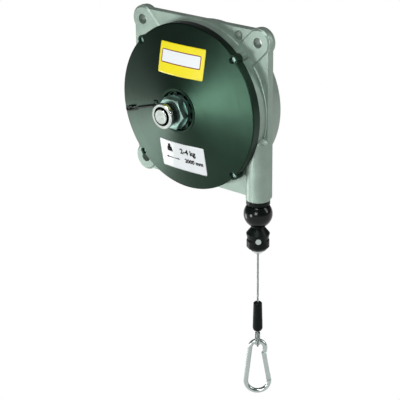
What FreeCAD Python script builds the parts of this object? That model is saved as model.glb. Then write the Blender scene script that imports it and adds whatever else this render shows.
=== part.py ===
"""Spring tool balancer: a die-cast housing that hangs by its corner holes, a drum
wound with two metres of steel cable, the spiral spring that balances the tool, the
arbor and ratchet that set its tension, and the snap hook that carries the tool.

Millimetres. +X is to the right, -Y to the front and +Z up. The origin is the centre
of the suspension hole, halfway through the flange. The shaft axis runs along Y.
"""
import FreeCAD, Part
import math
import os
import re

import Sketcher
from FreeCAD import Placement, Rotation, Vector

SIZES = {
    # fastening flange: three lobed corners, each with a hole, and a draft on its edge
    "hole_pitch": 150.0,
    "hole_bore": 10.5,
    "flange_margin": 12.0,
    "flange_thick": 8.5,
    "flange_draft": 5.0,
    "lobe_radius": 14.5,
    "outlet_corner": 3.0,
    "safety_bore": 9.5,
    "safety_in": 24.7,
    "safety_up": 3.4,
    "pad_width": 27.0,
    "pad_rise": 1.6,
    "pad_slope": 40.0,
    # round chamber of the housing
    "drum_room": 10.0,
    "chamber_wall": 4.0,
    "chamber_front": 15.6,
    "casing_back": 26.0,
    "casing_round": 3.0,
    "casing_taper": 4.0,
    "rear_wall": 4.0,
    "rear_boss_radius": 19.0,
    "rear_boss_rise": 4.0,
    "rear_boss_draft": 2.0,
    "inner_boss_wall": 5.5,
    "boss_cap": 2.2,
    "foot_round": 1.0,
    "edge_round": 0.55,
    # cable outlet tube
    "tube_radius": 12.5,
    "tube_forward": 4.0,
    "tube_start": 20.0,
    "tube_beyond": 0.5,
    "tube_rim": 0.8,
    "tube_bore": 18.0,
    "tube_cap": 4.0,
    # conical front cover
    "cover_lap": 1.0,
    "cover_wall": 3.0,
    "rim_depth": 9.6,
    "rim_round": 1.4,
    "rim_wall": 6.6,
    "cover_rise": 14.3,
    "spigot_depth": 3.0,
    "spigot_gap": 0.15,
    "recess_radius": 20.7,
    "recess_ring": 2.2,
    "ring_rise": 0.8,
    "recess_deep": 4.9,
    "hub_slab_radius": 36.0,
    "hub_boss_wall": 4.0,
    "hub_boss_long": 8.6,
    "ear_radius": 5.2,
    "ear_step": 0.6,
    "screw_in": 1.1371,
    "screw_shank": 3.4,
    "screw_head": 6.2,
    "screw_head_high": 2.2,
    "screw_length": 14.0,
    "screw_under": 4.6,
    "screw_clearance": 0.25,
    "screw_boss_radius": 4.5,
    # drum, which turns on the arbor
    "cable_dia": 2.0,
    "drum_taper": 0.8,
    "turn_pitch": 2.5,
    "drum_flange_high": 3.2,
    "drum_flange_wide": 2.2,
    "drum_wall": 6.0,
    "drum_back": 9.4,
    "drum_web": 3.0,
    "drum_hub_wall": 5.0,
    "drum_hub_proud": 1.0,
    "drum_bush_wall": 2.5,
    "drum_bush_long": 7.4,
    "lid_thick": 2.2,
    "lid_lap": 2.0,
    "lid_screw_in": 3.5,
    "lid_screw_radius": 1.4,
    "lid_screw_head": 2.6,
    "lid_screw_long": 6.5,
    "lid_hub_inner": 3.0,
    # arbor and what is on it
    "arbor_core_step": 4.5,
    "arbor_journal_step": 2.0,
    "arbor_tail": 6.0,
    "arbor_front": 7.5,
    "arbor_proud": 1.7,
    "running_gap": 0.03,
    "bush_wall": 2.5,
    "bush_flange": 1.5,
    "washer_thick": 1.0,
    "washer_wide": 3.5,
    "circlip_thick": 1.0,
    "circlip_depth": 0.7,
    "circlip_wide": 2.0,
    "key_wide": 4.0,
    "key_sunk": 2.0,
    "key_proud": 1.7,
    "key_in": 1.0,
    "key_long": 14.0,
    "ratchet_radius": 19.0,
    "ratchet_root": 16.0,
    "ratchet_clear": 0.4,
    "ratchet_thick": 3.6,
    "shoulder_radius": 16.6,
    "shoulder_long": 4.0,
    "hex_flats": 30.0,
    "hex_turn": -5.0,
    "hex_long": 9.0,
    "hex_chamfer": 1.6,
    "neck_wall": 3.5,
    "neck_long": 6.9,
    "collar_radius": 12.9,
    "collar_long": 4.7,
    "collar_wall": 3.1,
    "collar_counterbore_deep": 3.9,
    # spiral spring
    "spring_thick": 1.0,
    "spring_wide": 16.0,
    "spring_gap": 0.4,
    # release lever and pawl, placed from the shaft axis
    "pin_left": 24.23,
    "pin_down": 7.64,
    "pin_radius": 2.0,
    "pin_head": 3.2,
    "pin_head_thick": 0.8,
    "pawl_thick": 3.0,
    "pawl_clear": 0.3,
    "pawl_spring_wire": 0.8,
    "pawl_spring_from": -30.0,
    "pawl_spring_to": 46.2,
    "wall_leg": 4.1,
    "lever_leg": 10.7,
    "lever_slope": 18.1,
    "lever_wire": 2.4,
    "tail_left": 30.2,
    "tail_up": -0.6,
    "lever_lift": 0.8,
    "lever_short": 31.7,
    "eye_long": 24.0,
    "eye_wide": 6.0,
    # cable guide and the stop on the cable
    "guide_radius": 12.2,
    "guide_high": 5.4,
    "guide_spigot": 14.0,
    "throat_gap": 0.6,
    "guide_mouth": 5.0,
    "ball_radius": 14.8,
    "ball_gap": 0.4,
    "ball_rise": 9.5,
    "ball_high": 22.5,
    "clamp_neck": 6.6,
    "clamp_shoulder": 12.0,
    "clamp_waist": 10.8,
    "clamp_band": 11.7,
    "clamp_long": 25.4,
    "clamp_screw_down": 13.8,
    "clamp_screw_shank": 2.0,
    "clamp_screw_head": 2.9,
    "clamp_screw_head_high": 1.6,
    "cone_top_radius": 8.6,
    "cone_tip_radius": 2.4,
    "cone_high": 5.6,
    "collet_radius": 5.0,
    "collet_long": 8.0,
    # cable end: sleeve, ferrule, thimble and eye
    "cable_free": 60.4,
    "sleeve_long": 32.4,
    "sleeve_top_radius": 4.5,
    "sleeve_bottom_radius": 5.2,
    "ferrule_in": 4.4,
    "ferrule_back": 0.4,
    "ferrule_radius": 3.2,
    "thimble_thick": 1.0,
    "thimble_wide": 5.2,
    "thimble_inside": 4.3,
    "thimble_leg": 7.2,
    "strand_gap": 1.0,
    "eye_short": 0.55,
    # snap hook
    "hook_yaw": 40.0,
    "eye_show": 9.9,
    "hook_long": 63.8,
    "hook_wire": 5.0,
    "hook_top_radius": 7.8,
    "hook_bottom_radius": 12.2,
    "nose_lean": 6.4,
    "nose_round": 3.4,
    "nose_flat": 4.2,
    "bar_end_turn": 5.0,
    "tongue_half": 2.5,
    "gate_pivot_turn": 20.0,
    "gate_lean": 9.7,
    "gate_long": 29.3,
    "gate_half": 2.4,
    "gate_fork": 4.6,
    "gate_tongue": 2.4,
    "gate_side_gap": 0.15,
    "gate_pin_radius": 1.1,
    "swing_gap": 0.85,
}

# places that follow from the sizes above
PLACES = {
    "axis_in": "hole_pitch / 2",
    "half_flange": "flange_thick / 2",
    "edge": "hole_pitch + flange_margin",
    "ball_top": "guide_bottom + ball_gap",
    "tube_top": "axis_in + tube_start",
    "tube_bottom": "edge + tube_beyond",
    "tube_bore_top": "tube_top + tube_cap",
    "chamber_radius": "drum_reach + drum_room",
    "casing_end_radius": "chamber_radius - casing_taper",
    "cover_radius": "chamber_radius + cover_lap",
    "rim_inside": "cover_radius - rim_wall",
    "cone_front": "rim_front + cover_rise",
    "recess_floor": "cone_front - recess_deep",
    "hub_boss_radius": "bush_outer + hub_boss_wall",
    "hub_boss_back": "recess_floor - hub_boss_long",
    "inner_boss_radius": "arbor_tail + bush_wall + inner_boss_wall",
    "ear_front": "rim_front - ear_step",
    "screw_reach": "(chamber_radius - screw_in) / sqrt(2)",
    "screw_seat": "chamber_front + screw_under",
    "drum_reach": "axis_in",
    "drum_flange": "drum_reach + drum_flange_high",
    "drum_inside": "drum_reach - drum_wall",
    "drum_hub_radius": "drum_bush_radius + drum_hub_wall",
    "drum_bush_radius": "arbor_journal + drum_bush_wall",
    "lid_radius": "drum_reach + lid_lap",
    "lid_screw_reach": "drum_reach - lid_screw_in",
    "arbor_core": "arbor_journal + arbor_core_step",
    "arbor_journal": "arbor_front + arbor_journal_step",
    "arbor_end": "neck_front + collar_long + arbor_proud",
    "washer_radius": "arbor_journal + washer_wide",
    "circlip_radius": "arbor_journal + circlip_wide",
    "key_back": "ratchet_back + key_in",
    "key_front": "key_back + key_long",
    "ratchet_back": "recess_floor + ratchet_clear",
    "neck_radius": "arbor_front + neck_wall",
    "collar_counterbore": "collar_radius - collar_wall",
    "pawl_back": "recess_floor + pawl_clear",
    "lever_reach": "cover_radius - lever_short",
    "guide_throat": "cable_r + throat_gap",
    "ball_centre": "ball_top + ball_rise",
    "ball_bottom": "ball_top + ball_high",
    "clamp_bottom": "ball_bottom + clamp_long",
    "clamp_screw_drop": "ball_bottom + clamp_screw_down",
    "sleeve_top": "clamp_bottom + cable_free",
    "sleeve_bottom": "sleeve_top + sleeve_long",
    "ferrule_top": "sleeve_top + ferrule_in",
    "ferrule_bottom": "sleeve_bottom - ferrule_back",
    "hook_top": "sleeve_bottom + eye_show",
    "chamber_inside": "chamber_radius - chamber_wall",
    "cavity_back": "casing_back - rear_wall",
    "rear_boss_back": "casing_back + rear_boss_rise",
    "inner_boss_front": "drum_back + drum_hub_proud + 1.3",
    "rim_front": "chamber_front + rim_depth",
    "groove_back": "tube_forward - turn_pitch / 2",
    "groove_front": "tube_forward + 4.5 * turn_pitch",
    "drum_front": "groove_front + drum_flange_wide",
    "cone_slope": "(cone_front - rim_front) / (cover_radius - recess_radius)",
    "cone_inside": "cone_front - 1.1 * cover_wall",
    "groove_floor": "drum_reach - cable_dia / 2",
    "web_inside": "drum_back - drum_web",
    "drum_hub_back": "drum_back + drum_hub_proud",
    "drum_bush_inside": "drum_hub_back - drum_bush_long",
    "lid_front": "drum_front + lid_thick",
    "lid_hub_back": "drum_front - lid_hub_inner",
    "washer_back": "lid_front + drum_hub_proud + 0.1",
    "circlip_back": "washer_back + washer_thick + 0.05",
    "journal_front": "circlip_back + circlip_thick + 1.5",
    "bush_outer": "arbor_front + bush_wall",
    "arbor_back": "rear_boss_back - boss_cap - 0.4",
    "ratchet_front": "ratchet_back + ratchet_thick",
    "hex_back": "ratchet_front + shoulder_long",
    "hex_front": "hex_back + hex_long",
    "neck_front": "hex_front + neck_long",
    "pawl_front": "pawl_back + pawl_thick",
    "pin_head_back": "pawl_front + pawl_spring_wire + 0.2",
    "guide_bottom": "tube_bottom + guide_high",
    "cable_r": "cable_dia / 2",
    "lead_top": "axis_in + sqrt(pow(drum_reach + cable_dia; 2) - pow(drum_reach - cable_r; 2))",
    "hook_eye": "hook_top + hook_wire / 2",
}

# the pawl's outline from the shaft axis, from its tip behind a tooth round by its tail
PAWL_OUTLINE = [
    (-7.34, -14.67),
    (-8.58, -17.06),
    (-15.57, -16.03),
    (-22.2, -12.4),
    (-26.6, -11.2),
    (-28.5, -8.2),
    (-33.3, -0.6),
    (-33.0, 2.9),
    (-29.6, 4.0),
    (-27.4, 1.8),
    (-22.3, -4.0),
    (-19.34, -7.70),
    (-16.19, -10.96),
    (-14.44, -12.90),
]

# the room for it in the cover, which it swings in
PAWL_ROOM = [
    (-8.0, -8.0),
    (-9.6, -20.4),
    (-10.9, -20.2),
    (-17.6, -18.0),
    (-23.4, -13.3),
    (-27.7, -11.7),
    (-29.4, -8.0),
    (-34.0, -0.9),
    (-33.8, 3.6),
    (-31.3, 5.1),
    (-27.1, 5.5),
    (-25.2, 2.6),
    (-20.6, -3.6),
]

# the flange's three lobed corners
LOBES = (("0", "0"), ("-hole_pitch", "0"), ("-hole_pitch", "-hole_pitch"))

doc = FreeCAD.newDocument("ToolBalancer")
sheet = doc.addObject("Spreadsheet::Sheet", "Sizes")
for row, (alias, size) in enumerate(SIZES.items(), start=1):
    sheet.set(f"A{row}", alias)
    sheet.set(f"B{row}", str(size))
    sheet.setAlias(f"B{row}", alias)
doc.recompute()

pieces = []


def ex(text):
    """The expression as the document reads it, with every name led back to the sheet."""

    def lead(found):
        name = found.group(0)
        if name in PLACES:
            return "(" + ex(PLACES[name]) + ")"
        return "Sizes." + name if name in SIZES else name

    return re.sub(r"[a-z][a-z_]*[a-z]", lead, str(text))


def value(text):
    """The number that an expression has now."""
    return float(sheet.evalExpression(ex(text)))


# ---- bodies, sketches and features ----


def body(label):
    """A new body for one piece, which is written to a file of the same name."""
    piece = doc.addObject("PartDesign::Body", label)
    piece.Label = label
    pieces.append(piece)
    return piece


def on_shaft(piece):
    """Stand a piece on the shaft axis, so that its own Y axis is that axis."""
    piece.setExpression("Placement.Base.x", ex("-axis_in"))
    piece.setExpression("Placement.Base.z", ex("-axis_in"))
    return piece


def on_cable(piece, turned=False):
    """Stand a piece on the cable's line, turned to face as the snap hook does."""
    if turned:
        piece.Placement = Placement(Vector(), Rotation(Vector(0, 0, 1), SIZES["hook_yaw"]))
        piece.setExpression("Placement.Rotation.Angle", ex("hook_yaw"))
    piece.setExpression("Placement.Base.y", ex("-tube_forward"))
    return piece


def sketch(piece, role, x="0", y="0", lift="0"):
    """An empty sketch on the body's own origin plane, moved in it and lifted off it."""
    drawn = piece.newObject("Sketcher::SketchObject", piece.Label + "_outline")
    plane = next(f for f in piece.Origin.OriginFeatures if f.Role == role)
    drawn.AttachmentSupport = (plane, [""])
    drawn.MapMode = "FlatFace"
    for axis, offset in zip("xyz", (x, y, lift)):
        if offset != "0":
            drawn.setExpression("AttachmentOffset.Base." + axis, ex(offset))
    return drawn


def fix(drawn, kind, geometry, point, text):
    """Hold one coordinate or radius of a sketch to an expression."""
    now = value(text)
    if kind == "Radius":
        held = drawn.addConstraint(Sketcher.Constraint(kind, geometry, now))
    else:
        held = drawn.addConstraint(Sketcher.Constraint(kind, geometry, point, now))
    drawn.setExpression(f"Constraints[{held}]", ex(text))


def polygon(drawn, corners):
    """A closed outline through corners, each a pair of expressions."""
    spots = [Vector(value(a), value(b), 0) for a, b in corners]
    first = drawn.GeometryCount
    count = len(spots)
    for i, spot in enumerate(spots):
        drawn.addGeometry(Part.LineSegment(spot, spots[(i + 1) % count]), False)
    for i, (across, up) in enumerate(corners):
        follows = first + (i + 1) % count
        drawn.addConstraint(Sketcher.Constraint("Coincident", first + i, 2, follows, 1))
        fix(drawn, "DistanceX", first + i, 1, across)
        fix(drawn, "DistanceY", first + i, 1, up)
    return drawn


def circle(drawn, across, up, radius):
    """A circle about a point given by two expressions."""
    centre = Vector(value(across), value(up), 0)
    ring = Part.Circle(centre, Vector(0, 0, 1), value(radius))
    made = drawn.addGeometry(ring, False)
    fix(drawn, "DistanceX", made, 3, across)
    fix(drawn, "DistanceY", made, 3, up)
    fix(drawn, "Radius", made, 0, radius)
    return drawn


def rectangle(drawn, left, right, low, high):
    """An upright rectangle between four expressions."""
    return polygon(drawn, [(left, low), (right, low), (right, high), (left, high)])


def rounded_square(drawn, low, high, round_corner, last_corner):
    """A square from low to high both ways, rounded, its right lower corner apart."""
    a, b, r, q = value(low), value(high), value(round_corner), value(last_corner)
    corners = [
        (a, a, r, 180, low, low, round_corner),
        (b, a, q, 270, high, low, last_corner),
        (b, b, r, 0, high, high, round_corner),
        (a, b, r, 90, low, high, round_corner),
    ]
    ends = []
    for x, z, radius, start, *_ in corners:
        centre = Vector(x + radius * (1 if x == a else -1), z + radius * (1 if z == a else -1), 0)
        ring = Part.Circle(centre, Vector(0, 0, 1), radius)
        arc = Part.ArcOfCircle(ring, math.radians(start), math.radians(start + 90))
        ends.append((arc.StartPoint, arc.EndPoint))
        drawn.addGeometry(arc, False)
    for i, (_, end) in enumerate(ends):
        drawn.addGeometry(Part.LineSegment(end, ends[(i + 1) % 4][0]), False)
    for i, (x, z, _, _, across, up, radius) in enumerate(corners):
        inward = "+" if x == a else "-"
        upward = "+" if z == a else "-"
        fix(drawn, "DistanceX", i, 3, f"{across} {inward} {radius}")
        fix(drawn, "DistanceY", i, 3, f"{up} {upward} {radius}")
        fix(drawn, "Radius", i, 0, radius)
        drawn.addConstraint(Sketcher.Constraint("Tangent", i, 2, 4 + i, 1))
        drawn.addConstraint(Sketcher.Constraint("Tangent", 4 + i, 2, (i + 1) % 4, 1))
    return drawn


def feature(piece, kind, drawn, **settings):
    """Add a feature made from a sketch, with each text setting bound to the sheet."""
    made = piece.newObject("PartDesign::" + kind, f"{piece.Label}_{kind}")
    made.Profile = drawn
    for name, setting in settings.items():
        if isinstance(setting, str) and name not in ("Type", "SideType"):
            made.setExpression(name, ex(setting))
        else:
            setattr(made, name, setting)
    drawn.Visibility = False
    doc.recompute()
    return made


def pad(piece, drawn, length, **settings):
    return feature(piece, "Pad", drawn, Length=length, **settings)


def sloped(made, angle):
    """Lean the sides of a pad inward as it rises."""
    made.setExpression("TaperAngle", ex("-" + angle))
    doc.recompute()
    return made


def pocket(piece, drawn, length, **settings):
    """Cut a sketch into the piece, and make sure that it cut something."""
    before = piece.Shape.Volume
    made = feature(piece, "Pocket", drawn, Length=length, **settings)
    if not piece.Shape.Volume < before - 1e-6:
        raise RuntimeError(f"{piece.Label}: {made.Name} cuts nothing")
    return made


def spin(piece, drawn, kind="Revolution", turn=360.0):
    """Turn a sketch about its own upright axis, to add or (as a Groove) to cut."""
    before = piece.Shape.Volume if kind == "Groove" else None
    made = piece.newObject("PartDesign::" + kind, f"{piece.Label}_{kind}")
    made.Profile = drawn
    made.ReferenceAxis = (drawn, ["V_Axis"])
    made.Angle = turn
    drawn.Visibility = False
    doc.recompute()
    if before is not None and not piece.Shape.Volume < before - 1e-6:
        raise RuntimeError(f"{piece.Label}: {made.Name} cuts nothing")
    return made


def around_shaft(piece, made, count):
    """Repeat a feature evenly around the piece's own Y axis."""
    ring = piece.newObject("PartDesign::PolarPattern", f"{piece.Label}_ring")
    axis = next(f for f in piece.Origin.OriginFeatures if f.Role == "Y_Axis")
    ring.Originals = [made]
    ring.Axis = (axis, [""])
    ring.Angle = 360.0
    ring.Occurrences = count
    piece.Tip = ring
    doc.recompute()
    return ring


def fillet(piece, radius, chosen):
    """Round the edges of the piece that a test picks out."""
    base = piece.Tip
    names = [
        f"Edge{i}" for i, edge in enumerate(base.Shape.Edges, start=1) if chosen(edge)
    ]
    if not names:
        raise RuntimeError(f"{piece.Label}: no edge to round")
    made = piece.newObject("PartDesign::Fillet", f"{piece.Label}_round")
    made.Base = (base, names)
    made.setExpression("Radius", ex(radius))
    doc.recompute()
    return made


def is_ring(edge, radius, depth, near=0.01):
    """Whether an edge is a circle of this radius about Y, at this place along it."""
    curve = edge.Curve
    return (
        isinstance(curve, Part.Circle)
        and abs(curve.Radius - value(radius)) < near
        and abs(curve.Center.y - value(depth)) < near
    )


def turned(label, corners, place=on_shaft):
    """A piece turned from one outline about the shaft axis."""
    piece = place(body(label))
    spin(piece, polygon(sketch(piece, "XY_Plane"), corners))
    return piece


def turned_upright(label, corners, yawed=False):
    """A piece turned from one outline about the cable's line."""
    piece = on_cable(body(label), yawed)
    spin(piece, polygon(sketch(piece, "XZ_Plane"), corners))
    return piece


def formed(label, shape, place):
    """A piece whose form neither a body nor a primitive fits, such as bent wire."""
    piece = doc.addObject("Part::Feature", label)
    piece.Label = label
    piece.Shape = shape
    place(piece)
    pieces.append(piece)
    return piece


def bent_wire(route, radius, closed=False):
    """Round wire along a route of tangent lines and arcs."""
    path = Part.Wire(route)
    start = route[0].valueAt(route[0].FirstParameter)
    along = route[0].tangentAt(route[0].FirstParameter)
    section = Part.Wire([Part.Circle(start, along, radius).toShape()])
    return path.makePipeShell([section], True, True, 1)


def arc(centre, radius, start, end, across, up):
    """An arc in the plane of two directions, its angles in degrees from the first."""

    def spot(angle):
        turn = math.radians(angle)
        return centre + across * (radius * math.cos(turn)) + up * (radius * math.sin(turn))

    return Part.Arc(spot(start), spot((start + end) / 2), spot(end)).toShape()


def line(a, b):
    return Part.LineSegment(a, b).toShape()


# ---- housing: flange, chamber, outlet tube ----


def housing():
    piece = body("housing")
    # outlet tube, flush with the flange's edge on its outer side
    outlet = sketch(piece, "XY_Plane", lift="-tube_bottom")
    circle(outlet, "0", "-tube_forward", "tube_radius")
    pad(piece, outlet, "tube_bottom - tube_top")
    fillet(
        piece,
        "tube_radius * 0.6",
        lambda e: isinstance(e.Curve, Part.Circle) and e.Curve.Center.z > -value("tube_top") - 1,
    )
    fillet(
        piece,
        "tube_rim",
        lambda e: isinstance(e.Curve, Part.Circle) and e.Curve.Center.z < 1 - value("tube_bottom"),
    )
    side = sketch(piece, "XY_Plane", lift="-tube_bottom - 1")
    rectangle(side, "flange_margin", "flange_margin + tube_radius", "-40", "40")
    pocket(piece, side, "hole_pitch", Reversed=True)
    # flange, split at mid thickness with a draft each way
    for back in (False, True):
        plate = sketch(piece, "XZ_Plane")
        rounded_square(plate, "-edge", "flange_margin", "flange_margin", "outlet_corner")
        sloped(pad(piece, plate, "half_flange", Reversed=back), "flange_draft")
        corners = sketch(piece, "XZ_Plane")
        for across, up in LOBES:
            circle(corners, across, up, "lobe_radius")
        sloped(pad(piece, corners, "half_flange", Reversed=back), "flange_draft")
    doc.recompute()
    # raised strips from each lobe to the chamber
    for across, up in LOBES:
        strip = sketch(piece, "XZ_Plane", lift="half_flange")
        reach = "pad_width * 0.5 / sqrt(2)"
        inward = "-" if across == "0" else "+"
        downward = "-" if up == "0" else "+"
        far_x, far_z = f"{across} {inward} hole_pitch / 4", f"{up} {downward} hole_pitch / 4"
        lean = 1 if inward == downward else -1
        sides = ("-", "+") if lean > 0 else ("+", "+")
        other = ("+", "-") if lean > 0 else ("-", "-")
        polygon(
            strip,
            [
                (f"{across} {sides[0]} {reach}", f"{up} {sides[1]} {reach}"),
                (f"{far_x} {sides[0]} {reach}", f"{far_z} {sides[1]} {reach}"),
                (f"{far_x} {other[0]} {reach}", f"{far_z} {other[1]} {reach}"),
                (f"{across} {other[0]} {reach}", f"{up} {other[1]} {reach}"),
            ],
        )
        sloped(pad(piece, strip, "pad_rise"), "pad_slope")
        disc = sketch(piece, "XZ_Plane", lift="half_flange")
        circle(disc, across, up, "pad_width / 2")
        sloped(pad(piece, disc, "pad_rise"), "pad_slope")
    # round chamber and rear casing
    round_wall = sketch(piece, "XY_Plane", x="-axis_in", lift="-axis_in")
    polygon(
        round_wall,
        [
            ("0", "rear_boss_back"),
            ("rear_boss_radius - rear_boss_draft", "rear_boss_back"),
            ("rear_boss_radius", "casing_back"),
            ("casing_end_radius - casing_round", "casing_back"),
            ("casing_end_radius - casing_round * 0.29", "casing_back - casing_round * 0.29"),
            ("casing_end_radius", "casing_back - casing_round"),
            ("chamber_radius", "0"),
            ("chamber_radius", "-chamber_front"),
            ("0", "-chamber_front"),
        ],
    )
    spin(piece, round_wall)
    fillet(piece, "foot_round", lambda e: is_ring(e, "chamber_radius", "-half_flange"))
    # bosses for the cover's screws
    bosses = sketch(piece, "XZ_Plane")
    for across in ("-axis_in - screw_reach", "-axis_in + screw_reach"):
        for up in ("-axis_in - screw_reach", "-axis_in + screw_reach"):
            circle(bosses, across, up, "screw_boss_radius")
    pad(piece, bosses, "chamber_front")
    # chamber's inside and the seat of the rear bush
    inside = sketch(piece, "XY_Plane", x="-axis_in", lift="-axis_in")
    polygon(
        inside,
        [
            ("0", "rear_boss_back - boss_cap"),
            ("arbor_tail + bush_wall", "rear_boss_back - boss_cap"),
            ("arbor_tail + bush_wall", "inner_boss_front"),
            ("inner_boss_radius", "inner_boss_front"),
            ("inner_boss_radius", "cavity_back"),
            ("casing_end_radius - chamber_wall", "cavity_back"),
            ("chamber_inside", "0"),
            ("chamber_inside", "-chamber_front - 1"),
            ("0", "-chamber_front - 1"),
        ],
    )
    spin(piece, inside, "Groove")
    cover_seat = sketch(piece, "XY_Plane", x="-axis_in", lift="-axis_in")
    in_front = "-chamber_front - flange_thick"
    rectangle(cover_seat, "0", "cover_radius + 0.5", in_front, "-chamber_front")
    spin(piece, cover_seat, "Groove")
    outlet_bore = sketch(piece, "XY_Plane", lift="-tube_bottom")
    circle(outlet_bore, "0", "-tube_forward", "tube_bore / 2")
    pocket(piece, outlet_bore, "tube_bottom - tube_bore_top", Reversed=True)
    # mounting holes, safety hole and threaded screw holes
    holes = sketch(piece, "XZ_Plane", lift="-flange_thick")
    for across, up in LOBES:
        circle(holes, across, up, "hole_bore / 2")
    circle(holes, "-safety_in", "safety_up", "safety_bore / 2")
    pocket(piece, holes, "3 * flange_thick", Reversed=True)
    threads = sketch(piece, "XZ_Plane", lift="chamber_front - screw_length")
    for across in ("-axis_in - screw_reach", "-axis_in + screw_reach"):
        for up in ("-axis_in - screw_reach", "-axis_in + screw_reach"):
            circle(threads, across, up, "screw_shank / 2")
    pocket(piece, threads, "screw_length + 1", Reversed=True)
    fillet(piece, "edge_round", on_flange_outline)
    return piece


def on_flange_outline(edge):
    """Whether an edge of the flange's outline is to be rounded.

    The two front edges that run into the outlet tube stay sharp.
    """
    box = edge.BoundBox
    if box.YLength > 0.02 or abs(abs(box.YMin) - value("half_flange")) > 0.02:
        return False
    draft = value("half_flange") * math.tan(math.radians(value("flange_draft")))
    spot = edge.valueAt((edge.FirstParameter + edge.LastParameter) / 2)
    if isinstance(edge.Curve, Part.Line):
        low, high = draft - value("edge"), value("flange_margin") - draft
        by_tube = abs(spot.x - high) < 0.05 or abs(spot.z - low) < 0.05
        clear = abs(spot.x - low) < 0.05 or abs(spot.z - high) < 0.05
        return clear or (by_tube and spot.y > 0)
    reach = value("lobe_radius") - draft
    return any(abs(math.hypot(spot.x - value(x), spot.z - value(z)) - reach) < 0.05 for x, z in LOBES)


# ---- front cover and its screws ----


def front_cover():
    piece = turned(
        "front_cover",
        [
            ("bush_outer", "-chamber_front + spigot_depth"),
            ("chamber_inside - spigot_gap", "-chamber_front + spigot_depth"),
            ("chamber_inside - spigot_gap", "-chamber_front"),
            ("cover_radius", "-chamber_front"),
            ("cover_radius", "-rim_front"),
            ("recess_radius + recess_ring", "-cone_front"),
            ("recess_radius + recess_ring", "-cone_front - ring_rise"),
            ("recess_radius", "-cone_front - ring_rise"),
            ("recess_radius", "-recess_floor"),
            ("bush_outer", "-recess_floor"),
        ],
    )
    fillet(piece, "rim_round", lambda e: is_ring(e, "cover_radius", "-rim_front"))
    ears = sketch(piece, "XZ_Plane", lift="chamber_front")
    circle(ears, "screw_reach", "screw_reach", "ear_radius")
    ear = pad(piece, ears, "ear_front - chamber_front")
    around_shaft(piece, ear, 4)
    # the inside, down to the slab behind the recess and round the bush's boss
    inside = sketch(piece, "XY_Plane")
    polygon(
        inside,
        [
            ("bush_outer - 1", "-chamber_front + spigot_depth + 1"),
            ("rim_inside", "-chamber_front + spigot_depth + 1"),
            ("rim_inside", "-cone_inside + cone_slope * (rim_inside - recess_radius)"),
            ("hub_slab_radius", "-cone_inside + cone_slope * (hub_slab_radius - recess_radius)"),
            ("hub_slab_radius", "-recess_floor + cover_wall"),
            ("hub_boss_radius", "-recess_floor + cover_wall"),
            ("hub_boss_radius", "-hub_boss_back"),
            ("bush_outer - 1", "-hub_boss_back"),
        ],
    )
    spin(piece, inside, "Groove")
    seats = sketch(piece, "XZ_Plane", lift="screw_seat")
    circle(seats, "screw_reach", "screw_reach", "screw_head / 2 + screw_clearance")
    seat = pocket(piece, seats, "hub_slab_radius", Reversed=True)
    around_shaft(piece, seat, 4)
    shanks = sketch(piece, "XZ_Plane", lift="chamber_front - 1")
    circle(shanks, "screw_reach", "screw_reach", "screw_shank / 2 + screw_clearance")
    shank = pocket(piece, shanks, "hub_slab_radius", Reversed=True)
    around_shaft(piece, shank, 4)
    room = sketch(piece, "XZ_Plane", lift="recess_floor")
    polygon(room, [(str(across), str(up)) for across, up in PAWL_ROOM])
    pocket(piece, room, "recess_floor", Reversed=True)
    seat_of_pin = sketch(piece, "XZ_Plane", lift="recess_floor - cover_wall - 1")
    circle(seat_of_pin, "-pin_left", "-pin_down", "pin_radius")
    pocket(piece, seat_of_pin, "recess_floor", Reversed=True)
    return piece


def screw(piece, across, up, seat, shank, head, high, long):
    """A headed screw along Y, its head in front of its seat."""
    stem = circle(sketch(piece, "XZ_Plane", lift=f"{seat} - ({long})"), across, up, shank)
    pad(piece, stem, long)
    cap = circle(sketch(piece, "XZ_Plane", lift=seat), across, up, head)
    pad(piece, cap, high)


def cover_screws():
    """Four pan-head screws in one file, each a solid of its own."""
    solids = []
    for turn in range(4):
        one = on_shaft(body(f"cover_screw_{turn + 1}"))
        pieces.remove(one)
        screw(
            one,
            ("screw_reach", "-screw_reach")[turn in (1, 2)],
            ("screw_reach", "-screw_reach")[turn > 1],
            "screw_seat",
            "screw_shank / 2",
            "screw_head / 2",
            "screw_head_high",
            "screw_seat - chamber_front + screw_length - 1",
        )
        solids.append(one)
    return group("cover_screws", solids)


def group(label, solids):
    """Like solids kept together as one piece's file."""
    made = doc.addObject("Part::Compound", label)
    made.Label = label
    made.Links = solids
    pieces.append(made)
    return made


# ---- drum, lid, bushes and wound cable ----


def drum():
    piece = turned(
        "drum",
        [
            ("drum_bush_radius", "drum_hub_back"),
            ("drum_hub_radius", "drum_hub_back"),
            ("drum_hub_radius", "drum_back"),
            ("groove_floor - 1.5", "drum_back"),
            ("groove_floor", "drum_back - 1.5"),
            ("groove_floor", "-groove_back + drum_flange_wide"),
            ("drum_flange", "-groove_back + drum_flange_wide"),
            ("drum_flange", "-groove_back"),
            ("groove_floor", "-groove_back"),
            ("groove_floor + drum_taper", "-groove_front"),
            ("drum_flange", "-groove_front"),
            ("drum_flange", "-drum_front"),
            ("drum_inside", "-drum_front"),
            ("drum_inside", "web_inside"),
            ("drum_hub_radius", "web_inside"),
            ("drum_hub_radius", "drum_bush_inside"),
            ("drum_bush_radius", "drum_bush_inside"),
        ],
    )
    threads = sketch(piece, "XZ_Plane", lift="drum_front - lid_screw_long")
    circle(threads, "lid_screw_reach", "0", "lid_screw_radius")
    thread = pocket(piece, threads, "drum_front", Reversed=True)
    around_shaft(piece, thread, 6)
    return piece


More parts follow.
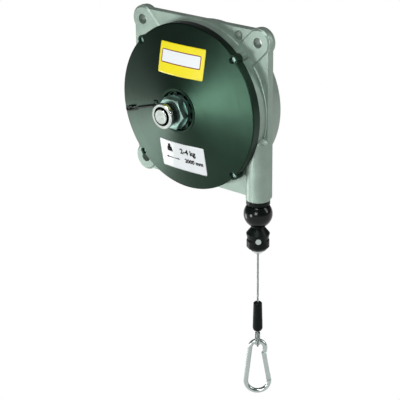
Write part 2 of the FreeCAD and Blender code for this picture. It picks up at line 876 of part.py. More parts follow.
def drum_lid():
    piece = turned(
        "drum_lid",
        [
            ("drum_bush_radius", "-lid_front - drum_hub_proud"),
            ("drum_hub_radius", "-lid_front - drum_hub_proud"),
            ("drum_hub_radius", "-lid_front"),
            ("lid_radius", "-lid_front"),
            ("lid_radius", "-drum_front"),
            ("drum_hub_radius", "-drum_front"),
            ("drum_hub_radius", "-lid_hub_back"),
            ("drum_bush_radius", "-lid_hub_back"),
        ],
    )
    holes = sketch(piece, "XZ_Plane", lift="lid_hub_back")
    circle(holes, "lid_screw_reach", "0", "lid_screw_radius")
    hole = pocket(piece, holes, "drum_front", Reversed=True)
    around_shaft(piece, hole, 6)
    return piece


def lid_screws():
    solids = []
    for turn in range(6):
        one = on_shaft(body(f"lid_screw_{turn + 1}"))
        pieces.remove(one)
        screw(
            one,
            f"lid_screw_reach * cos({60 * turn})",
            f"lid_screw_reach * sin({60 * turn})",
            "lid_front",
            "lid_screw_radius",
            "lid_screw_head",
            "lid_screw_radius",
            "lid_thick + lid_screw_long - 0.5",
        )
        solids.append(one)
    return group("lid_screws", solids)


def bush(label, inner, outer, back, front, flange=None):
    """A plain bearing bush between two places, with a flange at its front or back."""
    corners = [(inner, back), (outer, back), (outer, front), (inner, front)]
    if flange:
        corners[1:1] = [(flange, back), (flange, f"{back} - bush_flange")]
        corners[3] = (outer, f"{back} - bush_flange")
    return turned(label, corners)


def cable_winding():
    """The turns on the drum, as one closed layer a cable's diameter thick."""
    return turned(
        "cable_winding",
        [
            ("groove_floor", "-groove_back"),
            ("groove_floor + cable_dia", "-groove_back"),
            ("groove_floor + cable_dia + drum_taper", "-groove_front"),
            ("groove_floor + drum_taper", "-groove_front"),
        ],
    )


def main_spring():
    """A flat spiral from the arbor's core to the drum's wall, made of half turns."""
    inner = value("arbor_core + spring_gap")
    outer = value("drum_inside - spring_gap")
    thick = value("spring_thick")
    turns = 7
    step = (outer - thick - inner) / (turns - 0.5)
    edges = {0.0: [], thick: []}
    for half in range(2 * turns - 1):
        centre = Vector(step / 4 * (1 if half % 2 else -1), 0, 0)
        radius = inner + step / 4 + half * step / 2
        for grown, run in edges.items():
            start = 180.0 * half
            run.append(arc(centre, radius + grown, start, start + 180, Vector(1, 0, 0), Vector(0, 0, 1)))
    near, far = edges[0.0], edges[thick]
    ends = [
        line(near[-1].Vertexes[-1].Point, far[-1].Vertexes[-1].Point),
        line(far[0].Vertexes[0].Point, near[0].Vertexes[0].Point),
    ]
    outline = Part.Wire(Part.__sortEdges__(near + far + ends))
    strip = Part.Face(outline).extrude(Vector(0, -value("spring_wide"), 0))
    return formed("main_spring", strip, lambda p: on_shaft_at(p, "drum_bush_inside - 0.6"))


def on_shaft_at(piece, back):
    """Stand a formed piece on the shaft axis, from a place along it."""
    piece.setExpression("Placement.Base.y", ex(back))
    return on_shaft(piece)


# ---- arbor, tension setting and ratchet ----


def arbor():
    piece = turned(
        "arbor",
        [
            ("0", "arbor_back"),
            ("arbor_tail", "arbor_back"),
            ("arbor_tail", "inner_boss_front - 0.3"),
            ("arbor_journal", "inner_boss_front - 0.3"),
            ("arbor_journal", "drum_bush_inside - 0.5"),
            ("arbor_core", "drum_bush_inside - 0.5"),
            ("arbor_core", "-lid_hub_back + 0.5"),
            ("arbor_journal", "-lid_hub_back + 0.5"),
            ("arbor_journal", "-circlip_back"),
            ("arbor_journal - circlip_depth", "-circlip_back"),
            ("arbor_journal - circlip_depth", "-circlip_back - circlip_thick - 0.05"),
            ("arbor_journal", "-circlip_back - circlip_thick - 0.05"),
            ("arbor_journal", "-journal_front"),
            ("arbor_front", "-journal_front"),
            ("arbor_front", "-arbor_end + 0.6"),
            ("arbor_front - 0.6", "-arbor_end"),
            ("0", "-arbor_end"),
        ],
    )
    keyway = sketch(piece, "XZ_Plane", lift="key_back")
    rectangle(keyway, "-key_wide / 2", "key_wide / 2", "arbor_front - key_sunk", "arbor_core")
    pocket(piece, keyway, "key_front - key_back", Reversed=True)
    return piece


def arbor_key():
    piece = on_shaft(body("arbor_key"))
    side = sketch(piece, "XZ_Plane", lift="key_back")
    rectangle(side, "-key_wide / 2", "key_wide / 2", "arbor_front - key_sunk", "arbor_front + key_proud")
    pad(piece, side, "key_front - key_back")
    return piece


def cut_keyway(piece, back):
    """Let the key into a piece that the arbor drives."""
    slot = sketch(piece, "XZ_Plane", lift=back)
    rectangle(slot, "-key_wide / 2 - 0.02", "key_wide / 2 + 0.02", "0", "arbor_front + key_proud + 0.1")
    pocket(piece, slot, "hex_long * 4", Midplane=True)


def ratchet_wheel():
    """Twelve saw teeth, their steep sides against the pawl when the spring pulls."""
    piece = on_shaft(body("ratchet_wheel"))
    outline = sketch(piece, "XZ_Plane", lift="ratchet_back")
    teeth = 12
    corners = []
    for tooth in range(teeth):
        steep = 360 * tooth / teeth + 154
        corners.append((f"ratchet_root * cos({steep})", f"ratchet_root * sin({steep})"))
        corners.append((f"ratchet_radius * cos({steep})", f"ratchet_radius * sin({steep})"))
        corners.append((f"ratchet_radius * cos({steep + 7})", f"ratchet_radius * sin({steep + 7})"))
    polygon(outline, corners)
    pad(piece, outline, "ratchet_thick")
    bore = circle(sketch(piece, "XZ_Plane", lift="ratchet_back"), "0", "0", "arbor_front + running_gap")
    pocket(piece, bore, "ratchet_thick", Reversed=True)
    cut_keyway(piece, "ratchet_back")
    return piece


def hex_nut():
    """The hexagon that sets the tension, with a round shoulder behind it."""
    piece = turned(
        "tension_hexagon",
        [
            ("arbor_front + running_gap", "-ratchet_front"),
            ("shoulder_radius", "-ratchet_front"),
            ("shoulder_radius", "-hex_back"),
            ("arbor_front + running_gap", "-hex_back"),
        ],
    )
    outline = sketch(piece, "XZ_Plane", lift="hex_back")
    corner = "hex_flats / 2 / cos(30)"
    turns = [f"(hex_turn + {60 * i})" for i in range(6)]
    polygon(outline, [(f"{corner} * cos{turn}", f"{corner} * sin{turn}") for turn in turns])
    pad(piece, outline, "hex_long")
    bevel = sketch(piece, "XY_Plane")
    polygon(
        bevel,
        [
            ("hex_flats / 2 - 0.4", "-hex_front"),
            ("hex_flats / 2 + 2 * hex_chamfer", "-hex_front + hex_chamfer * 1.4"),
            ("hex_flats / 2 + 2 * hex_chamfer", "-hex_front - 1"),
            ("hex_flats / 2 - 0.4", "-hex_front - 1"),
        ],
    )
    spin(piece, bevel, "Groove")
    bore = circle(sketch(piece, "XZ_Plane", lift="hex_back - 1"), "0", "0", "arbor_front + running_gap")
    pocket(piece, bore, "hex_long + 2", Reversed=True)
    cut_keyway(piece, "ratchet_front")
    return piece


def neck_sleeve():
    return turned(
        "neck_sleeve",
        [
            ("arbor_front + running_gap", "-hex_front"),
            ("neck_radius", "-hex_front"),
            ("neck_radius", "-neck_front"),
            ("arbor_front + running_gap", "-neck_front"),
        ],
    )


def front_collar():
    return turned(
        "front_collar",
        [
            ("arbor_front", "-neck_front"),
            ("collar_radius - 0.8", "-neck_front"),
            ("collar_radius", "-neck_front - 0.8"),
            ("collar_radius", "-neck_front - collar_long + 0.8"),
            ("collar_radius - 0.8", "-neck_front - collar_long"),
            ("collar_counterbore", "-neck_front - collar_long"),
            ("collar_counterbore", "-neck_front - collar_long + collar_counterbore_deep"),
            ("arbor_front", "-neck_front - collar_long + collar_counterbore_deep"),
        ],
    )


def thrust_washer():
    return turned(
        "thrust_washer",
        [
            ("arbor_journal + running_gap", "-washer_back"),
            ("washer_radius", "-washer_back"),
            ("washer_radius", "-washer_back - washer_thick"),
            ("arbor_journal + running_gap", "-washer_back - washer_thick"),
        ],
    )


def circlip():
    """A ring with a gap, sprung into the arbor's groove."""
    piece = on_shaft(body("circlip"))
    ring = sketch(piece, "XZ_Plane", lift="circlip_back + 0.02")
    circle(ring, "0", "0", "circlip_radius")
    circle(ring, "0", "0", "arbor_journal - circlip_depth + 0.02")
    pad(piece, ring, "circlip_thick")
    gap = sketch(piece, "XZ_Plane", lift="circlip_back")
    rectangle(gap, "-circlip_radius / 4", "circlip_radius / 4", "-circlip_radius - 1", "0")
    pocket(piece, gap, "circlip_thick * 2", Reversed=True)
    return piece


# ---- pawl, its pin and spring, and the release lever ----


def lever_ways():
    """The lever's direction along the cover, the way across it, and its corner."""
    slope = math.radians(value("lever_slope"))
    fall = value("(cone_front - rim_front) / (cover_radius - recess_radius - recess_ring)")
    out = Vector(-math.cos(slope), fall, -math.sin(slope))
    out.normalize()
    side = Vector(math.sin(slope), 0, -math.cos(slope))
    tail = Vector(-value("tail_left"), 0, value("tail_up"))
    ring_run = tail.Length - value("recess_radius + recess_ring")
    tail.y = -value("cone_front + lever_lift + lever_wire / 2") + ring_run * fall
    return tail, out, side


def pawl():
    piece = on_shaft(body("pawl"))
    outline = sketch(piece, "XZ_Plane", lift="pawl_back")
    polygon(outline, [(str(across), str(up)) for across, up in PAWL_OUTLINE])
    pad(piece, outline, "pawl_thick")
    holes = sketch(piece, "XZ_Plane", lift="pawl_back")
    circle(holes, "-pin_left", "-pin_down", "pin_radius + running_gap")
    circle(holes, "-tail_left", "tail_up", "lever_wire / 2")
    pocket(piece, holes, "pawl_thick", Reversed=True)
    return piece


def pawl_pin():
    piece = on_shaft(body("pawl_pin"))
    stem = sketch(piece, "XZ_Plane", lift="recess_floor - cover_wall")
    circle(stem, "-pin_left", "-pin_down", "pin_radius")
    pad(piece, stem, "pin_head_back - recess_floor + cover_wall")
    cap = sketch(piece, "XZ_Plane", lift="pin_head_back")
    circle(cap, "-pin_left", "-pin_down", "pin_head")
    pad(piece, cap, "pin_head_thick")
    return piece


def pawl_spring():
    """A hairpin round the pawl's pin, from the side of its room to the lever's leg."""
    wire = value("pawl_spring_wire") / 2
    centre = Vector(-value("pin_left"), -value("pawl_front") - 0.1 - wire, -value("pin_down"))
    radius = value("pin_radius") + wire + 0.2
    across, up = Vector(1, 0, 0), Vector(0, 0, 1)
    ring = arc(centre, radius, value("pawl_spring_from"), value("pawl_spring_to"), across, up)
    first, last = ring.Vertexes[0].Point, ring.Vertexes[-1].Point
    to_wall = (first - centre).cross(Vector(0, -1, 0)).normalize()
    to_lever = (last - centre).cross(Vector(0, 1, 0)).normalize()
    wall_end = first + to_wall * value("wall_leg")
    lever_end = last + to_lever * value("lever_leg")
    route = [line(wall_end, first), ring, line(last, lever_end)]
    return formed("pawl_spring", bent_wire(route, wire), on_shaft)


def release_lever():
    """Bent wire: a leg in the pawl's tail, a long arm and an eye at the rim."""
    wire = value("lever_wire / 2")
    tail, out, side = lever_ways()
    bend = 1.25 * wire
    leg_foot = Vector(tail.x, -value("pawl_back") - 0.2, tail.z)
    down = Vector(0, 1, 0)
    # the corner between leg and arm, rounded
    turn = math.acos(max(-1, min(1, (down * -1).dot(out))))
    reach = bend * math.tan(turn / 2)
    start = tail + down * reach
    end = tail + out * reach
    middle = tail + (down + out).normalize() * (bend / math.cos(turn / 2) - bend)
    eye_long, half = value("eye_long"), value("eye_wide") / 2 - wire
    across = side
    near = tail + out * (value("lever_reach") - eye_long)
    tip = tail + out * (value("lever_reach") - wire - half)
    # the eye leaves the arm on one side, goes round the tip and comes back beside it
    sway = math.radians(14)
    spread = half / math.sin(sway) * (1 - math.cos(sway)) * 2
    first = near + out * spread
    route = [line(leg_foot, start), Part.Arc(start, middle, end).toShape(), line(end, near)]
    route += s_bend(near, out, across, half, 12.0)
    begin = near + out * 12.0 + across * half
    if (tip - begin).dot(out) > 0.2:
        route.append(line(begin, tip + across * half))
    route.append(Part.Arc(tip + across * half, tip + out * half, tip - across * half).toShape())
    close = tip - across * half - out * (eye_long * 0.42)
    route.append(line(tip - across * half, close))
    shape = bent_wire(route, wire)
    return formed("release_lever", shape, on_shaft)


def s_bend(start, along, across, shift, run):
    """Two equal tangent arcs that carry a wire sideways over a run."""
    radius = (run * run / 4 + shift * shift / 4) / shift
    turn = math.asin(run / 2 / radius)
    centre = start + across * radius
    middle = start + along * (run / 2) + across * (shift / 2)
    first = centre + (along * math.sin(turn / 2) - across * math.cos(turn / 2)) * radius
    end = start + along * run + across * shift
    centre_two = end - across * radius
    second = centre_two + (along * -math.sin(turn / 2) + across * math.cos(turn / 2)) * radius
    return [Part.Arc(start, first, middle).toShape(), Part.Arc(middle, second, end).toShape()]


# ---- cable guide, buffer ball and stop clamp ----


def cable_guide():
    return turned_upright(
        "cable_guide",
        [
            ("guide_throat", "-tube_bottom + guide_spigot"),
            ("tube_bore / 2 - 0.1", "-tube_bottom + guide_spigot"),
            ("tube_bore / 2 - 0.1", "-tube_bottom"),
            ("guide_radius", "-tube_bottom"),
            ("guide_radius", "-guide_bottom + 1.2"),
            ("guide_radius - 1.2", "-guide_bottom"),
            ("guide_mouth", "-guide_bottom"),
            ("guide_throat", "-tube_bottom"),
        ],
    )


def cable_lead():
    """The cable's straight run down the outlet tube, from the drum to the guide."""
    return turned_upright(
        "cable_lead",
        [
            ("0", "-lead_top"),
            ("cable_r", "-lead_top"),
            ("cable_r", "-guide_bottom"),
            ("0", "-guide_bottom"),
        ],
    )


def buffer_ball():
    """A rubber ball, flat where it meets the guide and the clamp, bored for the cable."""
    ball = doc.addObject("Part::Sphere", "ball_form")
    ball.setExpression("Radius", ex("ball_radius"))
    ball.setExpression("Placement.Base.z", ex("-ball_centre"))
    room = doc.addObject("Part::Cylinder", "ball_limits")
    room.setExpression("Radius", ex("ball_radius + 1"))
    room.setExpression("Height", ex("ball_bottom - guide_bottom - ball_gap"))
    room.setExpression("Placement.Base.z", ex("-ball_bottom"))
    cut = doc.addObject("Part::Common", "ball_flats")
    cut.Base, cut.Tool = ball, room
    bore = doc.addObject("Part::Cylinder", "ball_bore")
    bore.setExpression("Radius", ex("cable_r"))
    bore.setExpression("Height", ex("ball_bottom"))
    bore.setExpression("Placement.Base.z", ex("-ball_bottom - 1"))
    piece = doc.addObject("Part::Cut", "buffer_ball")
    piece.Label = "buffer_ball"
    piece.Base, piece.Tool = cut, bore
    pieces.append(on_cable(piece))
    return piece


def stop_clamp():
    piece = turned_upright(
        "stop_clamp",
        [
            ("cable_r", "-ball_bottom"),
            ("clamp_neck", "-ball_bottom"),
            ("clamp_neck", "-ball_bottom - 1"),
            ("clamp_shoulder", "-ball_bottom - 8"),
            ("clamp_shoulder", "-ball_bottom - 8.8"),
            ("clamp_waist", "-ball_bottom - 13.6"),
            ("clamp_band", "-ball_bottom - 15.6"),
            ("clamp_band", "-clamp_bottom + 3"),
            ("cone_top_radius + 0.5", "-clamp_bottom"),
            ("collet_radius", "-clamp_bottom"),
            ("collet_radius", "-clamp_bottom + collet_long"),
            ("cable_r", "-clamp_bottom + collet_long"),
        ],
        yawed=True,
    )
    thread = sketch(piece, "XZ_Plane", lift="0")
    circle(thread, "0", "-clamp_screw_drop", "clamp_screw_shank")
    pocket(piece, thread, "clamp_shoulder * 2", Reversed=True)
    seat = sketch(piece, "XZ_Plane", lift="clamp_waist - 1.2")
    circle(seat, "0", "-clamp_screw_drop", "clamp_screw_head + 0.3")
    pocket(piece, seat, "clamp_shoulder * 2", Reversed=True)
    return piece


def clamp_screw():
    piece = on_cable(body("clamp_screw"), True)
    stem = sketch(piece, "XZ_Plane", lift="cable_r")
    circle(stem, "0", "-clamp_screw_drop", "clamp_screw_shank")
    pad(piece, stem, "clamp_waist - 1.2 - cable_r")
    cap = sketch(piece, "XZ_Plane", lift="clamp_waist - 1.2")
    circle(cap, "0", "-clamp_screw_drop", "clamp_screw_head")
    pad(piece, cap, "clamp_screw_head_high")
    return piece


def clamp_cone():
    return turned_upright(
        "clamp_cone",
        [
            ("cable_r", "-clamp_bottom + collet_long"),
            ("collet_radius", "-clamp_bottom + collet_long"),
            ("collet_radius", "-clamp_bottom"),
            ("cone_top_radius", "-clamp_bottom"),
            ("cone_top_radius", "-clamp_bottom - 0.8"),
            ("cone_tip_radius", "-clamp_bottom - cone_high"),
            ("cable_r", "-clamp_bottom - cone_high"),
        ],
        yawed=True,
    )


# ---- hanging cable, its sleeve and its eye ----


def cable_run():
    """The cable below the guide, down to the crimped ferrule."""
    return turned_upright(
        "cable_run",
        [
            ("0", "-guide_bottom - ball_gap"),
            ("cable_r", "-guide_bottom - ball_gap"),
            ("cable_r", "-ferrule_top"),
            ("0", "-ferrule_top"),
        ],
    )


def crimp_ferrule():
    return turned_upright(
        "crimp_ferrule",
        [
            ("0", "-ferrule_top"),
            ("ferrule_radius - 0.6", "-ferrule_top"),
            ("ferrule_radius", "-ferrule_top - 0.6"),
            ("ferrule_radius", "-ferrule_bottom + 0.6"),
            ("ferrule_radius - 0.6", "-ferrule_bottom"),
            ("0", "-ferrule_bottom"),
        ],
    )


def cable_sleeve():
    return turned_upright(
        "cable_sleeve",
        [
            ("cable_r", "-sleeve_top"),
            ("sleeve_top_radius - 1", "-sleeve_top"),
            ("sleeve_top_radius", "-sleeve_top - 1"),
            ("sleeve_bottom_radius", "-sleeve_bottom + 3.6"),
            ("sleeve_bottom_radius - 0.3", "-sleeve_bottom + 2"),
            ("sleeve_bottom_radius - 0.9", "-sleeve_bottom + 0.8"),
            ("ferrule_radius + 0.3", "-sleeve_bottom"),
            ("ferrule_radius", "-sleeve_bottom"),
            ("ferrule_radius", "-ferrule_top"),
            ("cable_r", "-ferrule_top"),
        ],
    )


def eye_lean():
    """How far the eye's sides lean in, in degrees, to meet at the ferrule."""
    foot_half = value("strand_gap / 2 + cable_r")
    high = eye_centre().z * -1 - value("ferrule_bottom")
    reach = math.hypot(foot_half, high)
    radius = value("thimble_inside + thimble_thick + cable_r")
    return math.degrees(math.atan2(high, foot_half) - math.acos(radius / reach))


def eye_centre():
    return Vector(0, 0, -value("hook_eye - thimble_inside + hook_wire / 2 + swing_gap"))


def eye_route(radius, leg):
    """A loop about the snap hook's top wire, with two straight sides of one length."""
    across, up = Vector(0, 1, 0), Vector(0, 0, 1)
    centre, lean = eye_centre(), eye_lean()
    round_end = arc(centre, radius, lean, -180 - lean, across, up)
    right, left = round_end.Vertexes[0].Point, round_end.Vertexes[-1].Point
    turn = math.radians(lean)
    inward, rise = across * (leg * math.sin(turn)), up * (leg * math.cos(turn))
    return [line(right - inward + rise, right), round_end, line(left, left + inward + rise)]


def yawed_on_cable(piece):
    return on_cable(piece, True)


def cable_eye():
    radius = value("thimble_inside + thimble_thick + cable_r")
    high = -eye_centre().z - value("ferrule_bottom")
    foot_half = value("strand_gap / 2 + cable_r")
    leg = math.sqrt(foot_half**2 + high**2 - radius**2) - value("eye_short")
    eye = bent_wire(eye_route(radius, leg), value("cable_r"))
    return formed("cable_eye", eye, yawed_on_cable)


def thimble():
    """A strip bent round the inside of the eye, which the hook's wire bears on."""
    route = eye_route(value("thimble_inside + thimble_thick / 2"), value("thimble_leg"))
    start = route[0].valueAt(route[0].FirstParameter)
    along = route[0].tangentAt(route[0].FirstParameter)
    wide, thick = value("thimble_wide") / 2, value("thimble_thick") / 2
    sideways = Vector(1, 0, 0)
    out = along.cross(sideways).normalize()
    corners = [
        start + sideways * (wide * a) + out * (thick * b)
        for a, b in ((1, 1), (-1, 1), (-1, -1), (1, -1), (1, 1))
    ]
    strip = Part.Wire(route).makePipeShell([Part.makePolygon(corners)], True, True, 1)
    return formed("thimble", strip, yawed_on_cable)


# ---- snap hook and its gate, in the hook's own plane ----


def hook_places():
    """The hook's two arc centres, the slant of its sides and its gate's pivot."""
    top = -value("hook_top + hook_wire / 2 + hook_top_radius")
    low = -value("hook_top + hook_long - hook_wire / 2 - hook_bottom_radius")
    small, large = value("hook_top_radius"), value("hook_bottom_radius")
    slant = math.degrees(math.asin((large - small) / (top - low)))
    turn = math.radians(value("gate_pivot_turn"))
    pivot = Vector(large * math.cos(turn), 0, low + large * math.sin(turn))
    return Vector(0, 0, top), Vector(0, 0, low), slant, pivot


def tongue(a, b, half, thick):
    """A flat plate with a round end at b, in the middle of the hook's thickness."""
    along = (b - a).normalize()
    side = Vector(along.z, 0, -along.x)
    outline = Part.Wire(
        [
            line(a + side * half, b + side * half),
            Part.Arc(b + side * half, b + along * half, b - side * half).toShape(),
            line(b - side * half, a - side * half),
            line(a - side * half, a + side * half),
        ]
    )
    plate = Part.Face(outline).extrude(Vector(0, thick, 0))
    plate.translate(Vector(0, -thick / 2, 0))
    return plate


def snap_hook():
    """A pear of round bar, flattened at the nose and at the gate's pivot."""
    top, low, slant, pivot = hook_places()
    small, large = value("hook_top_radius"), value("hook_bottom_radius")
    across, up = Vector(1, 0, 0), Vector(0, 0, 1)
    lean = value("nose_lean")
    nose_turn = math.radians(-lean)
    nose_root = top + across * (small * math.cos(nose_turn)) + up * (small * math.sin(nose_turn))
    nose_way = Vector(math.sin(nose_turn), 0, -math.cos(nose_turn))
    nose_end = nose_root + nose_way * value("nose_round")
    over = arc(top, small, -lean, 180 - slant, across, up)
    under = arc(low, large, 180 - slant, 360 + value("bar_end_turn"), across, up)
    route = [
        line(nose_end, nose_root),
        over,
        line(over.Vertexes[-1].Point, under.Vertexes[0].Point),
        under,
    ]
    bar = bent_wire(route, value("hook_wire / 2"))
    thick, half = value("gate_tongue"), value("tongue_half")
    nose = tongue(nose_end - nose_way, nose_end + nose_way * value("nose_flat"), half * 0.7, thick)
    root = low + across * large + up * 0
    ear = tongue(root, pivot, half, thick)
    hole = Part.makeCylinder(value("gate_pin_radius"), 20, pivot - Vector(0, 10, 0), Vector(0, 1, 0))
    shape = bar.fuse([nose, ear]).cut(hole).removeSplitter()
    return formed("snap_hook", shape, yawed_on_cable)


def hook_gate():
    piece = on_cable(body("hook_gate"), True)
    pivot = hook_places()[3]

    def gate_sketch():
        drawn = sketch(piece, "XZ_Plane")
        lean = Rotation(Vector(0, 0, 1), value("gate_lean"))
        drawn.AttachmentOffset = Placement(Vector(pivot.x, pivot.z, 0), lean)
        return drawn

    end = circle(gate_sketch(), "0", "0", "gate_half + 0.2")
    pad(piece, end, "hook_wire", Midplane=True)
    bar = rectangle(gate_sketch(), "-gate_half", "gate_half", "0", "gate_long")
    pad(piece, bar, "hook_wire", Midplane=True)
    fillet(
        piece,
        "gate_half * 0.45",
        lambda e: isinstance(e.Curve, Part.Line) and e.Length > value("gate_long") * 0.6,
    )
    for low, high in (("-gate_half - 2", "gate_fork"), ("gate_long - nose_flat - 1.6", "gate_long + 2")):
        slot = rectangle(gate_sketch(), "-gate_half - 2", "gate_half + 2", low, high)
        pocket(piece, slot, "gate_tongue + 2 * gate_side_gap", Midplane=True)
    pivot_hole = circle(gate_sketch(), "0", "0", "gate_pin_radius + running_gap")
    pocket(piece, pivot_hole, "hook_wire * 3", Midplane=True)
    return piece


def gate_pin():
    piece = on_cable(body("gate_pin"), True)
    pivot = hook_places()[3]
    stem = sketch(piece, "XZ_Plane")
    stem.AttachmentOffset = Placement(Vector(pivot.x, pivot.z, 0), Rotation())
    circle(stem, "0", "0", "gate_pin_radius")
    pad(piece, stem, "hook_wire", Midplane=True)
    return piece


def gate_spring():
    """A fine wire in the gate's slot that pushes it shut."""
    pivot = hook_places()[3]
    lean = math.radians(value("gate_lean"))
    way = Vector(-math.sin(lean), 0, math.cos(lean))
    side = Vector(way.z, 0, -way.x)
    foot = pivot + way * (value("tongue_half") + 0.4) - side * 1.2
    head = pivot + way * (value("gate_fork") - 0.4) + side * 1.2
    shape = bent_wire([line(foot, head)], 0.35)
    return formed("gate_spring", shape, yawed_on_cable)


# ---- build, check and write ----


def build():
    housing()
    front_cover()
    cover_screws()
    bush(
        "rear_bush",
        "arbor_tail + running_gap",
        "arbor_tail + bush_wall",
        "rear_boss_back - boss_cap",
        "inner_boss_front",
    )
    bush(
        "front_bush",
        "arbor_front + running_gap",
        "bush_outer",
        "-hub_boss_back + bush_flange",
        "-recess_floor",
        "hub_boss_radius",
    )
    cable_guide()
    cable_lead()
    pawl_pin()
    pawl_spring()
    drum()
    drum_lid()
    lid_screws()
    bush(
        "drum_bush_rear",
        "arbor_journal + running_gap",
        "drum_bush_radius",
        "drum_hub_back",
        "drum_bush_inside",
    )
    bush(
        "drum_bush_front",
        "arbor_journal + running_gap",
        "drum_bush_radius",
        "-lid_hub_back",
        "-lid_front - drum_hub_proud",
    )
    cable_winding()
    main_spring()
    arbor()
    arbor_key()
    ratchet_wheel()
    hex_nut()
    neck_sleeve()
    front_collar()
    thrust_washer()
    circlip()
    release_lever()
    pawl()
    buffer_ball()
    stop_clamp()
    clamp_screw()
    clamp_cone()
    cable_run()
    crimp_ferrule()
    cable_sleeve()
    thimble()
    cable_eye()
    snap_hook()
    gate_pin()
    hook_gate()
    gate_spring()


def check_and_write():
    doc.recompute()
    for made in doc.Objects:
        if "Invalid" in made.State or "Error" in made.State:
            raise RuntimeError(f"{made.Name} failed: {made.State}")
    for piece in pieces:
        if piece.Shape.isNull() or not piece.Shape.isValid():
            raise RuntimeError(f"{piece.Label} has no sound shape")
    os.makedirs("parts", exist_ok=True)
    for piece in pieces:
        piece.Shape.exportStep(f"parts/{piece.Label}.step")
        print(piece.Label, len(piece.Shape.Solids), round(piece.Shape.Volume, 1))


build()
check_and_write()
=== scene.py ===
"""Looks for a spring tool balancer: finishes for its cast, turned, plated and moulded
pieces, its stranded cable, its labels and the studio it hangs in."""

import math

import bpy
from bpy.props import FloatProperty, FloatVectorProperty, IntProperty, PointerProperty
from mathutils import Matrix, Vector
from mathutils.bvhtree import BVHTree


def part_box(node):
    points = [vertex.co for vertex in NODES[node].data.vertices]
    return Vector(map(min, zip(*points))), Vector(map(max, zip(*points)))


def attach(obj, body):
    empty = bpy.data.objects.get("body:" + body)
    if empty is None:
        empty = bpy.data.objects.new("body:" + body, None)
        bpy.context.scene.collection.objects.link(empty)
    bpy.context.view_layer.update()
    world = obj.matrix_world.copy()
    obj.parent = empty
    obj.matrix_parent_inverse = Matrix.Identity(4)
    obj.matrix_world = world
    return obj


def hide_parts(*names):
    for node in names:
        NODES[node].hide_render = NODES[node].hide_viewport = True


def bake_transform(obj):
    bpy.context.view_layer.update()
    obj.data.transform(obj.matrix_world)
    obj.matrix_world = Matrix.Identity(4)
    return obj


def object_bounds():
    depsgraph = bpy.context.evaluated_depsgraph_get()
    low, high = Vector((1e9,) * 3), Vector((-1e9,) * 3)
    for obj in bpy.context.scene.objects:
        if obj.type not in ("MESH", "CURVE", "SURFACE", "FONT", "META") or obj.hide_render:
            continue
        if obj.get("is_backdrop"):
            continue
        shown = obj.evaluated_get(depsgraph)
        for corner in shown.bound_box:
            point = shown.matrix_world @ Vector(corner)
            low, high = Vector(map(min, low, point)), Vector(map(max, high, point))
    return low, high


bl_info = {
    "name": "Tool balancer",
    "version": (1, 0, 0),
    "blender": (4, 5, 0),
    "location": "View3D > Sidebar > Balancer",
    "description": "Finishes, cable and labels of a spring tool balancer",
    "category": "Object",
}

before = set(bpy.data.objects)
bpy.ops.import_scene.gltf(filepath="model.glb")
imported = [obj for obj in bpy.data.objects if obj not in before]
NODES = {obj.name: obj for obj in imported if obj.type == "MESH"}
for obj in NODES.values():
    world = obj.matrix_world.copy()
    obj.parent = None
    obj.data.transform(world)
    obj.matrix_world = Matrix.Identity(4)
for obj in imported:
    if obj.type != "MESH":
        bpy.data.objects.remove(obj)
CAD_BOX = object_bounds()


def middle(node):
    """The centre of a CAD node's box."""
    low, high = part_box(node)
    return (Vector(low) + Vector(high)) / 2


def low_of(node):
    return Vector(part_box(node)[0])


def high_of(node):
    return Vector(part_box(node)[1])


SHAFT = Vector((middle("drum").x, 0.0, middle("drum").z))
CABLE = Vector((middle("cable_run").x, middle("cable_run").y, 0.0))
HOOK_YAW = math.radians(40)


# ---- settings that a user would change ----


def length(name, default, description):
    return FloatProperty(name=name, default=default, description=description, unit="LENGTH")


def colour(name, default, description):
    return FloatVectorProperty(
        name=name, default=default, description=description, subtype="COLOR", size=3, min=0, max=1
    )


class BalancerSizes(bpy.types.PropertyGroup):
    """Sizes of what is added round the CAD frame."""

    strand_count: IntProperty(
        name="Strands", default=6, min=3, description="Outer strands of the cable"
    )
    rope_diameter: length("Cable diameter", 0.002, "Over the strands")
    rope_lay: length("Lay", 0.012, "Length in which a strand goes once round the cable")
    label_wide: length("Label width", 0.0584, "Both labels, across")
    label_high: length("Label height", 0.0308, "Both labels, upwards")
    label_thick: length("Label thickness", 0.00016, "How far a label stands off the cover")
    label_round: length("Label corner", 0.0008, "Corner radius of a label")
    upper_label: length("Upper label", 0.05, "Middle of the upper label, above the shaft")
    lower_label: length("Lower label", -0.051, "Middle of the lower label, from the shaft")
    panel_wide: length("Panel width", 0.0512, "Bare panel of the upper label with its line, across")
    panel_high: length("Panel height", 0.0136, "The same, upwards")
    panel_rise: length("Panel rise", 0.0018, "How far the panel sits above the label's middle")
    panel_round: length("Panel corner", 0.0018, "Corner radius of the panel")
    panel_line: length("Panel line", 0.001, "Width of the line round the panel")
    ink_lift: length("Ink lift", 0.0002, "How far the middle of the ink stands off a label")
    ink_thick: length("Ink thickness", 0.0003, "Thickness of the ink, part of it in the label")
    cable_out: length("Cable out", 2.0, "How far the cable can be pulled out")


